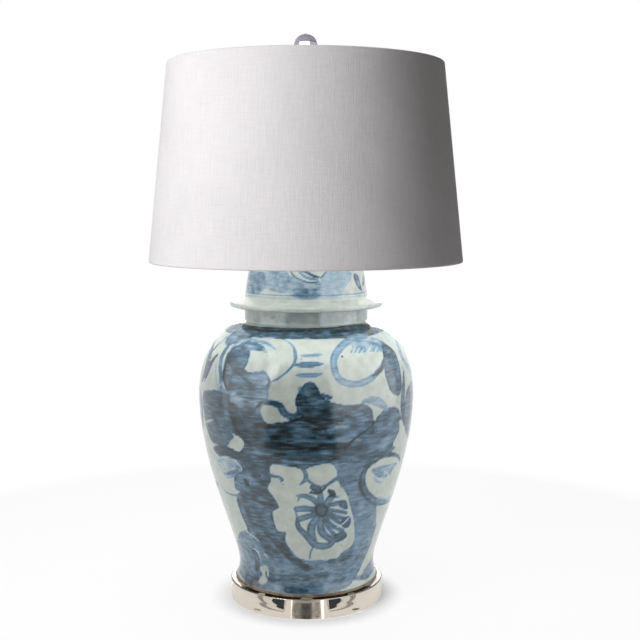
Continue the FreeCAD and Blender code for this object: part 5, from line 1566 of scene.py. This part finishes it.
@dataclass
class Shade:
    """The cloth of the tapered drum shade, rolled over its rings at both edges, with a lap down its back.

    Attributes:
        cloth: The cloth's thickness.
        hem_width: The hem's width across both its sides.
        hem_height: How far the cloth turns back inside.
        hem_round: How round its edges are.
        notch: How many degrees wide each notch round an arm is.
        arms: Where the spider's arms meet the hem, in degrees from the front.
        columns: Faces round it.
        map_inset: How far inside the bottom edge's radius the cloth's map is measured.
        waist: A height, in metres above the bottom edge, between the two hems.
        probes: How far under the top edge the wall's slope is read, in metres.
        notch_ends: From how far under the top edge to how many hem heights under it a notch goes.
    """

    cloth: float = 0.6
    hem_width: float = 5.3
    hem_height: float = 9.0
    hem_round: float = 2.2
    notch: float = 2.0
    arms: tuple[float, ...] = (180.0, 60.0, -60.0)
    columns: int = 360
    map_inset: float = 15.0
    waist: float = 0.14
    probes: Point = (0.2, 0.05)
    notch_ends: Point = (1.2, 1.05)

    def build(self) -> None:
        """Turns the cloth and notches its upper hem."""
        low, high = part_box("shade_fabric")
        bottom, tall = low[2], (high[2] - low[2]) / MM
        wide, narrow = high[0] / MM, self.top_radius(high[2])
        lean = (wide - narrow) / tall
        outline = self.outline(wide, lean, tall)
        shape = Turned(in_metres(outline, bottom), self.columns).mesh(closed=False)
        self.map_cloth(shape, bottom, wide, lean)
        self.notch_hem(shape, high[2])
        cloth = finish_piece(shape, "shade_cloth", Material.CLOTH.value, "shade", sharp=60.0)
        thick = cloth.modifiers.new("thickness", "SOLIDIFY")
        thick.thickness, thick.offset = self.cloth * MM, -1.0
        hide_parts("shade_fabric")

    def top_radius(self, top: float) -> float:
        """Reads the wall's radius at its top edge from its slope just under it.

        Args:
            top: The top edge's height, in metres.

        Returns:
            The radius, in millimetres.
        """
        heights = [top - probe for probe in self.probes]
        upper, lower = node_silhouette("shade_fabric", heights)
        return (lower + (lower - upper) / (heights[1] - heights[0]) * (top - heights[1])) / MM

    def outline(self, wide: float, lean: float, tall: float) -> Outline:
        """The cloth's outside, from the edge of its lower hem round to that of its upper hem.

        Args:
            wide: The wall's radius at its bottom edge.
            lean: How far it leans in for each millimetre of height.
            tall: Its height.

        Returns:
            The outline, in millimetres.
        """
        soft = self.hem_round

        def at(height: float, inset: float = 0.0) -> Point:
            """A place on the wall, or inside it."""
            return (wide - lean * height - inset, height)

        flap, tuck = at(self.hem_height, self.hem_width), at(soft, self.hem_width)
        low_in, low_out = at(0.0, self.hem_width - soft), at(0.0, soft)
        high_out, high_in = at(tall, soft), at(tall, self.hem_width - soft)
        outline = [flap, *straight(flap, tuck, 3), *arc(tuck, low_in, soft, steps=5), low_out]
        outline += arc(low_out, at(soft), soft, steps=5)
        outline += straight(at(soft), at(tall - soft), 60)
        outline += [*arc(outline[-1], high_out, soft, steps=5), high_in]
        outline += arc(high_in, at(tall - soft, self.hem_width), soft, steps=5)
        return outline + straight(outline[-1], at(tall - self.hem_height, self.hem_width), 3)

    def map_cloth(self, shape: BMesh, bottom: float, wide: float, lean: float) -> None:
        """Lays the cloth's own map, in metres: round the shade, and up its slant.

        Args:
            shape: The turned cloth.
            bottom: Its lowest height, in metres.
            wide: Its radius there, in millimetres.
            lean: How far the wall leans in for each millimetre of height.
        """
        layer = shape.loops.layers.uv.new("cloth")
        for face in shape.faces:
            middle = face.calc_center_median()
            turn = math.atan2(middle.x, -middle.y)
            for loop in face.loops:
                spot = loop.vert.co
                own = math.atan2(spot.x, -spot.y)
                own += math.tau * round((turn - own) / math.tau)
                up = spot.z - bottom
                slack = math.hypot(spot.x, spot.y) - (wide * MM - lean * up)
                slack = abs(slack) if spot.z > bottom + self.waist else slack
                loop[layer].uv = (own * (wide - self.map_inset) * MM, up + slack)

    def notch_hem(self, shape: BMesh, top: float) -> None:
        """Opens the upper hem's inner side where the spider's arms come through it.

        Args:
            shape: The turned cloth.
            top: Its highest height, in metres.
        """
        highest = top - self.notch_ends[0] * MM
        lowest = top - self.hem_height * self.notch_ends[1] * MM
        opened = []
        for face in shape.faces:
            middle = face.calc_center_median()
            inward = face.normal.x * middle.x + face.normal.y * middle.y < 0
            turn = math.degrees(math.atan2(middle.x, -middle.y))
            near_arm = any(abs((turn - arm + 180.0) % 360.0 - 180.0) < self.notch / 2 for arm in self.arms)
            if near_arm and inward and lowest < middle.z < highest:
                opened.append(face)
        bmesh.ops.delete(shape, geom=opened, context="FACES")


# ---- the clear base and the ball


@dataclass
class ClearBase:
    """The polished acrylic disc, drilled for the pipe and recessed below for its nut.

    Attributes:
        chamfer: How round its two outer edges are.
        recess_radius: The recess's radius; recess_depth is its depth.
        hole: The radius of the pipe's hole.
        columns: Faces round it.
    """

    chamfer: float = 1.4
    recess_radius: float = 22.0
    recess_depth: float = 11.0
    hole: float = 5.1
    columns: int = 256

    def build(self) -> None:
        """Turns the disc."""
        low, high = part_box("acrylic_base")
        radius, thick = high[0] / MM, (high[2] - low[2]) / MM
        edge = radius - self.chamfer
        outline = [(self.recess_radius, 0.0), (edge, 0.0)]
        outline += arc((edge, 0.0), (radius, self.chamfer), self.chamfer, steps=5)
        outline += straight(outline[-1], (radius, thick - self.chamfer), 3)
        outline += arc(outline[-1], (edge, thick), self.chamfer, steps=5)
        outline += [(self.hole, thick), (self.hole, self.recess_depth)]
        outline.append((self.recess_radius, self.recess_depth))
        shape = Turned(in_metres(outline, low[2]), self.columns).mesh()
        base = finish_piece(shape, "clear_base", Material.ACRYLIC.value, "base", sharp=30.0)
        base.visible_shadow = False
        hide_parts("acrylic_base")


@dataclass
class Ball:
    """The finial's polished ball."""

    rings: int = 64
    columns: int = 128

    def build(self) -> None:
        """Makes the ball."""
        low, high = (Vector(corner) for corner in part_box("finial_ball"))
        shape = bmesh.new()
        radius = (high.z - low.z) / 2
        bmesh.ops.create_uvsphere(shape, u_segments=self.columns, v_segments=self.rings, radius=radius)
        bmesh.ops.translate(shape, verts=shape.verts, vec=(low + high) / 2)
        ball = finish_piece(shape, "clear_ball", Material.CRYSTAL.value, "finial", sharp=180.0)
        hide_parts("finial_ball")


@dataclass
class Fittings:
    """The pieces whose CAD shape is right as it is, by their finish."""

    finishes: dict[Material, tuple[str, ...]] = field(
        default_factory=lambda: {
            Material.CLEAR_RUBBER: ("base_bumpers",),
            Material.STEEL: ("base_washer", "base_nut", "saddle_nut", "cap_screw", "switch_spindle"),
            Material.ZINC: ("threaded_pipe",),
            Material.BUSHING: ("cord_bushing",),
            Material.NICKEL: (
                "vase_cap", "neck_spacer", "harp_saddle", "socket_cap", "socket_shell",
                "harp_bow", "harp_sleeve_left", "harp_sleeve_right", "harp_stud", "finial_base",
            ),
            Material.FIBRE: ("socket_sleeve",),
            Material.CORE: ("socket_core",),
            Material.SCREW_BRASS: ("terminal_screws", "centre_contact"),
            Material.SHELL_BRASS: ("screw_shell",),
            Material.KNOB: ("switch_knob",),
            Material.BULB_METAL: ("bulb_cap",),
            Material.BULB_TIP: ("bulb_tip",),
            Material.BULB_GLASS: ("bulb_glass",),
            Material.LINER: ("shade_liner",),
            Material.WIRE: ("shade_bottom_ring", "shade_spider"),
        }
    )

    def dress(self) -> None:
        """Gives each piece its finish."""
        for finish, nodes in self.finishes.items():
            for node in nodes:
                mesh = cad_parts[node].data
                mesh.materials.clear()
                mesh.materials.append(finish.value.material())
                log.info("%s: %s", node, finish.value.name)


# ---- the studio


@dataclass(frozen=True)
class SoftBox:
    """A soft box that hangs round the lamp and faces its axis.

    Attributes:
        name: The light's name.
        azimuth: Where it stands, in degrees from the front, positive to the right.
        distance: How far it is from the lamp's axis, in metres.
        height: How high its middle is, in metres.
        size: Its width and height, in metres.
        watts: Its power.
        aim: The height on the axis that it faces, in metres.
        flagged: The pieces that a studio's flags would keep its light off.
    """

    name: str
    azimuth: float
    distance: float
    height: float
    size: Point
    watts: float
    aim: float
    flagged: tuple[str, ...] = ()

    def hang(self) -> None:
        """Hangs the box."""
        data = bpy.data.lights.new(self.name, "AREA")
        data.shape, data.size, data.size_y = "RECTANGLE", *self.size
        data.energy = self.watts
        box = bpy.data.objects.new(self.name, data)
        turn = math.radians(self.azimuth)
        box.location = (self.distance * math.sin(turn), -self.distance * math.cos(turn), self.height)
        aim = Vector((0.0, 0.0, self.aim)) - box.location
        box.rotation_euler = aim.to_track_quat("-Z", "Y").to_euler()
        bpy.context.scene.collection.objects.link(box)
        flag(box, self.flagged)


@dataclass(frozen=True)
class LiningGlow:
    """The light that the shade's white lining throws down on what is under it, as a disc in the shade.

    Attributes:
        name: The light's name.
        watts: Its power.
        flagged: The pieces that it doesn't light.
        across: The disc's diameter, in metres.
        height: How high it is, in metres.
    """

    name: str
    watts: float
    flagged: tuple[str, ...] = ()
    across: float = 0.36
    height: float = 0.6

    def hang(self) -> None:
        """Hangs the disc, unseen by the camera and in reflections."""
        data = bpy.data.lights.new(self.name, "AREA")
        data.shape, data.size, data.energy = "DISK", self.across, self.watts
        glow = bpy.data.objects.new(self.name, data)
        glow.location = (0.0, 0.0, self.height)
        glow.visible_camera, glow.visible_glossy, glow.visible_transmission = False, False, False
        bpy.context.scene.collection.objects.link(glow)
        flag(glow, self.flagged)


def flag(light: Object, pieces: tuple[str, ...]) -> None:
    """Keeps a light off some pieces, as a studio's flags do.

    Args:
        light: The light.
        pieces: The names of the pieces that it doesn't light.
    """
    if pieces:
        shaded = bpy.data.collections.new(f"off_{light.name}")
        for piece in pieces:
            shaded.objects.link(bpy.data.objects[piece])
        for item in shaded.collection_objects:
            item.light_linking.link_state = "EXCLUDE"
        light.light_linking.receiver_collection = shaded


CLOTH_AND_LINER = ("shade_cloth", "shade_liner")


@dataclass
class Studio:
    """The camera at the photograph's angle, the lights, the white floor and a dark board.

    Attributes:
        lens: Focal length in millimetres on a 36 mm sensor.
        eye: Where the camera stands, in metres.
        pitch: How far it looks down, in radians.
        turn: How far it looks to the right of the lamp's axis, in radians.
        lights: The key from the left, the wide low boxes for the porcelain and the lining's glow.
        floor_span: The floor's side, in metres.
        ambient: How strong the world's even light is.
        fill: Its colour.
        board: The dark board's width, depth and height behind the camera, in metres.
        board_near: How much of its width its near edge has, and how far that is moved to the right.
        board_place: Where its middle is on the floor, in metres.
        contact: From where to where the floor's shadow fades in round the foot, in metres.
        fade: From where to where its shading fades out to white, in metres.
    """

    lens: float = 61.26
    eye: tuple[float, float, float] = (0.0, -1.5964, 0.5918)
    pitch: float = 0.1102
    turn: float = 0.01276
    lights: tuple[SoftBox | LiningGlow, ...] = (
        SoftBox("key", -46.0, 1.8, 1.5, (1.0, 1.0), 37.5, 0.6, ("painted_jar", "painted_lid")),
        SoftBox("low_key", -38.0, 1.9, 1.5, (0.35, 1.2), 4.4, 0.4, CLOTH_AND_LINER),
        SoftBox("left_box", -66.0, 1.3, 0.56, (1.4, 1.1), 4.6, 0.36, ("floor", *CLOTH_AND_LINER)),
        SoftBox("right_box", 66.0, 1.3, 0.56, (2.2, 1.1), 12.0, 0.36, ("floor", *CLOTH_AND_LINER)),
        SoftBox("back_box", 176.0, 1.9, 1.0, (1.2, 1.0), 12.0, 0.45),
        LiningGlow("inner_glow", 0.5),
        LiningGlow("shoulder_glow", 3.4, ("painted_lid",)),
    )
    floor_span: float = 12.0
    ambient: float = 0.062
    fill: Colour = (1.0, 0.9, 0.86, 1.0)
    board: tuple[float, float, float] = (2.3, 1.45, 2.6)
    board_near: Point = (0.3, 0.22)
    board_place: tuple[float, float, float] = (-0.29, -1.175, 0.012)
    contact: Point = (0.104, 0.15)
    fade: Point = (0.3, 0.9)

    def camera(self) -> None:
        """Sets the camera."""
        data = bpy.data.cameras.new("camera")
        data.lens, data.sensor_width, data.sensor_fit = self.lens, 36.0, "HORIZONTAL"
        data.clip_start, data.clip_end = 0.01, 50.0
        eye = bpy.data.objects.new("camera", data)
        eye.location = self.eye
        eye.rotation_euler = (math.pi / 2 - self.pitch, 0.0, -self.turn)
        bpy.context.scene.collection.objects.link(eye)
        bpy.context.scene.camera = eye

    def world(self) -> None:
        """White where it is seen, reflected or seen through, and a weak even light elsewhere."""
        world = bpy.data.worlds.new("studio")
        bpy.context.scene.world = world
        bench = clean_bench(world)
        seen, light = bench.seen(), bench.add("Background")
        bench.feed(light.inputs["Color"], bench.mix(seen, self.fill, (1.0, 1.0, 1.0, 1.0)))
        bench.feed(light.inputs["Strength"], bench.band(seen, 0.0, 1.0, self.ambient, 1.0))
        bench.feed(bench.add("OutputWorld").inputs["Surface"], light.outputs[0])

    def prop(self, shape: BMesh, name: str) -> tuple[Object, Bench]:
        """Makes a piece of the studio, which isn't part of the lamp.

        Args:
            shape: Its mesh, in metres. It is freed.
            name: Its name.

        Returns:
            The piece, and the empty bench of its material.
        """
        mesh = bpy.data.meshes.new(name)
        shape.to_mesh(mesh)
        shape.free()
        paint = bpy.data.materials.new(f"{name}_paint")
        mesh.materials.append(paint)
        piece = bpy.data.objects.new(name, mesh)
        bpy.context.scene.collection.objects.link(piece)
        return piece, clean_bench(paint)

    def dark_side(self) -> None:
        """The dark side of the room round the camera, seen only in reflections and clear pieces."""
        shape = bmesh.new()
        bmesh.ops.create_grid(shape, x_segments=1, y_segments=1, size=0.5)
        front = [edge for edge in shape.edges if all(vert.co.y < 0 for vert in edge.verts)]
        wall = bmesh.ops.extrude_edge_only(shape, edges=front)["geom"]
        raised = [part for part in wall if isinstance(part, BMVert)]
        bmesh.ops.translate(shape, verts=raised, vec=(0.0, 0.0, self.board[2]))
        near = [vert for vert in shape.verts if vert.co.y > 0]
        narrowed, aside = self.board_near
        bmesh.ops.scale(shape, verts=shape.verts, vec=(*self.board[:2], 1.0))
        bmesh.ops.scale(shape, verts=near, vec=(narrowed, 1.0, 1.0))
        bmesh.ops.translate(shape, verts=shape.verts, vec=self.board_place)
        bmesh.ops.translate(shape, verts=near, vec=(aside, 0.0, 0.0))
        board, bench = self.prop(shape, "dark_side")
        board.visible_camera, board.visible_diffuse, board.visible_shadow = False, False, False
        matt = bench.add("BsdfDiffuse")
        weave = bench.noise(bench.add("TexCoord").outputs["Object"], 40.0)
        bench.feed(matt.inputs["Color"], bench.mix(weave, (0.05, 0.046, 0.04, 1.0), (0.09, 0.082, 0.07, 1.0)))
        bench.feed(bench.add("OutputMaterial").inputs["Surface"], matt.outputs[0])

    def floor(self) -> None:
        """A pale floor that shows white and keeps a soft shadow round the foot."""
        shape = bmesh.new()
        bmesh.ops.create_grid(shape, x_segments=1, y_segments=1, size=self.floor_span / 2)
        floor, bench = self.prop(shape, "floor")
        matt, glow, both = bench.add("BsdfDiffuse"), bench.add("Emission"), bench.add("MixShader")
        matt.inputs["Color"].default_value = (0.8, 0.8, 0.8, 1.0)
        glow.inputs["Color"].default_value = (1.0, 1.0, 1.0, 1.0)
        away = bench.add("VectorMath", operation="LENGTH")
        bench.feed(away.inputs[0], bench.add("TexCoord").outputs["Object"])
        near = bench.band(away.outputs["Value"], *self.contact, 0.3, 0.93)
        share = bench.math("MAXIMUM", near, bench.band(away.outputs["Value"], *self.fade))
        bench.feed(both.inputs[0], bench.times(bench.seen(), share))
        bench.feed(both.inputs[1], matt.outputs[0])
        bench.feed(both.inputs[2], glow.outputs[0])
        bench.feed(bench.add("OutputMaterial").inputs["Surface"], both.outputs[0])

    def build(self) -> None:
        """Sets up the whole studio."""
        bpy.context.scene.view_settings.view_transform = "Standard"
        self.camera()
        self.floor()
        self.dark_side()
        for light in self.lights:
            light.hang()
        self.world()


def main() -> None:
    """Builds the lamp's pieces in order, from the base up, and the studio round them."""
    logging.basicConfig(level=logging.INFO, format="%(name)s: %(message)s")
    ClearBase().build()
    Jar().build()
    Lid().build()
    Fittings().dress()
    Shade().build()
    Ball().build()
    Studio().build()


if __name__ == "__main__":
    main()
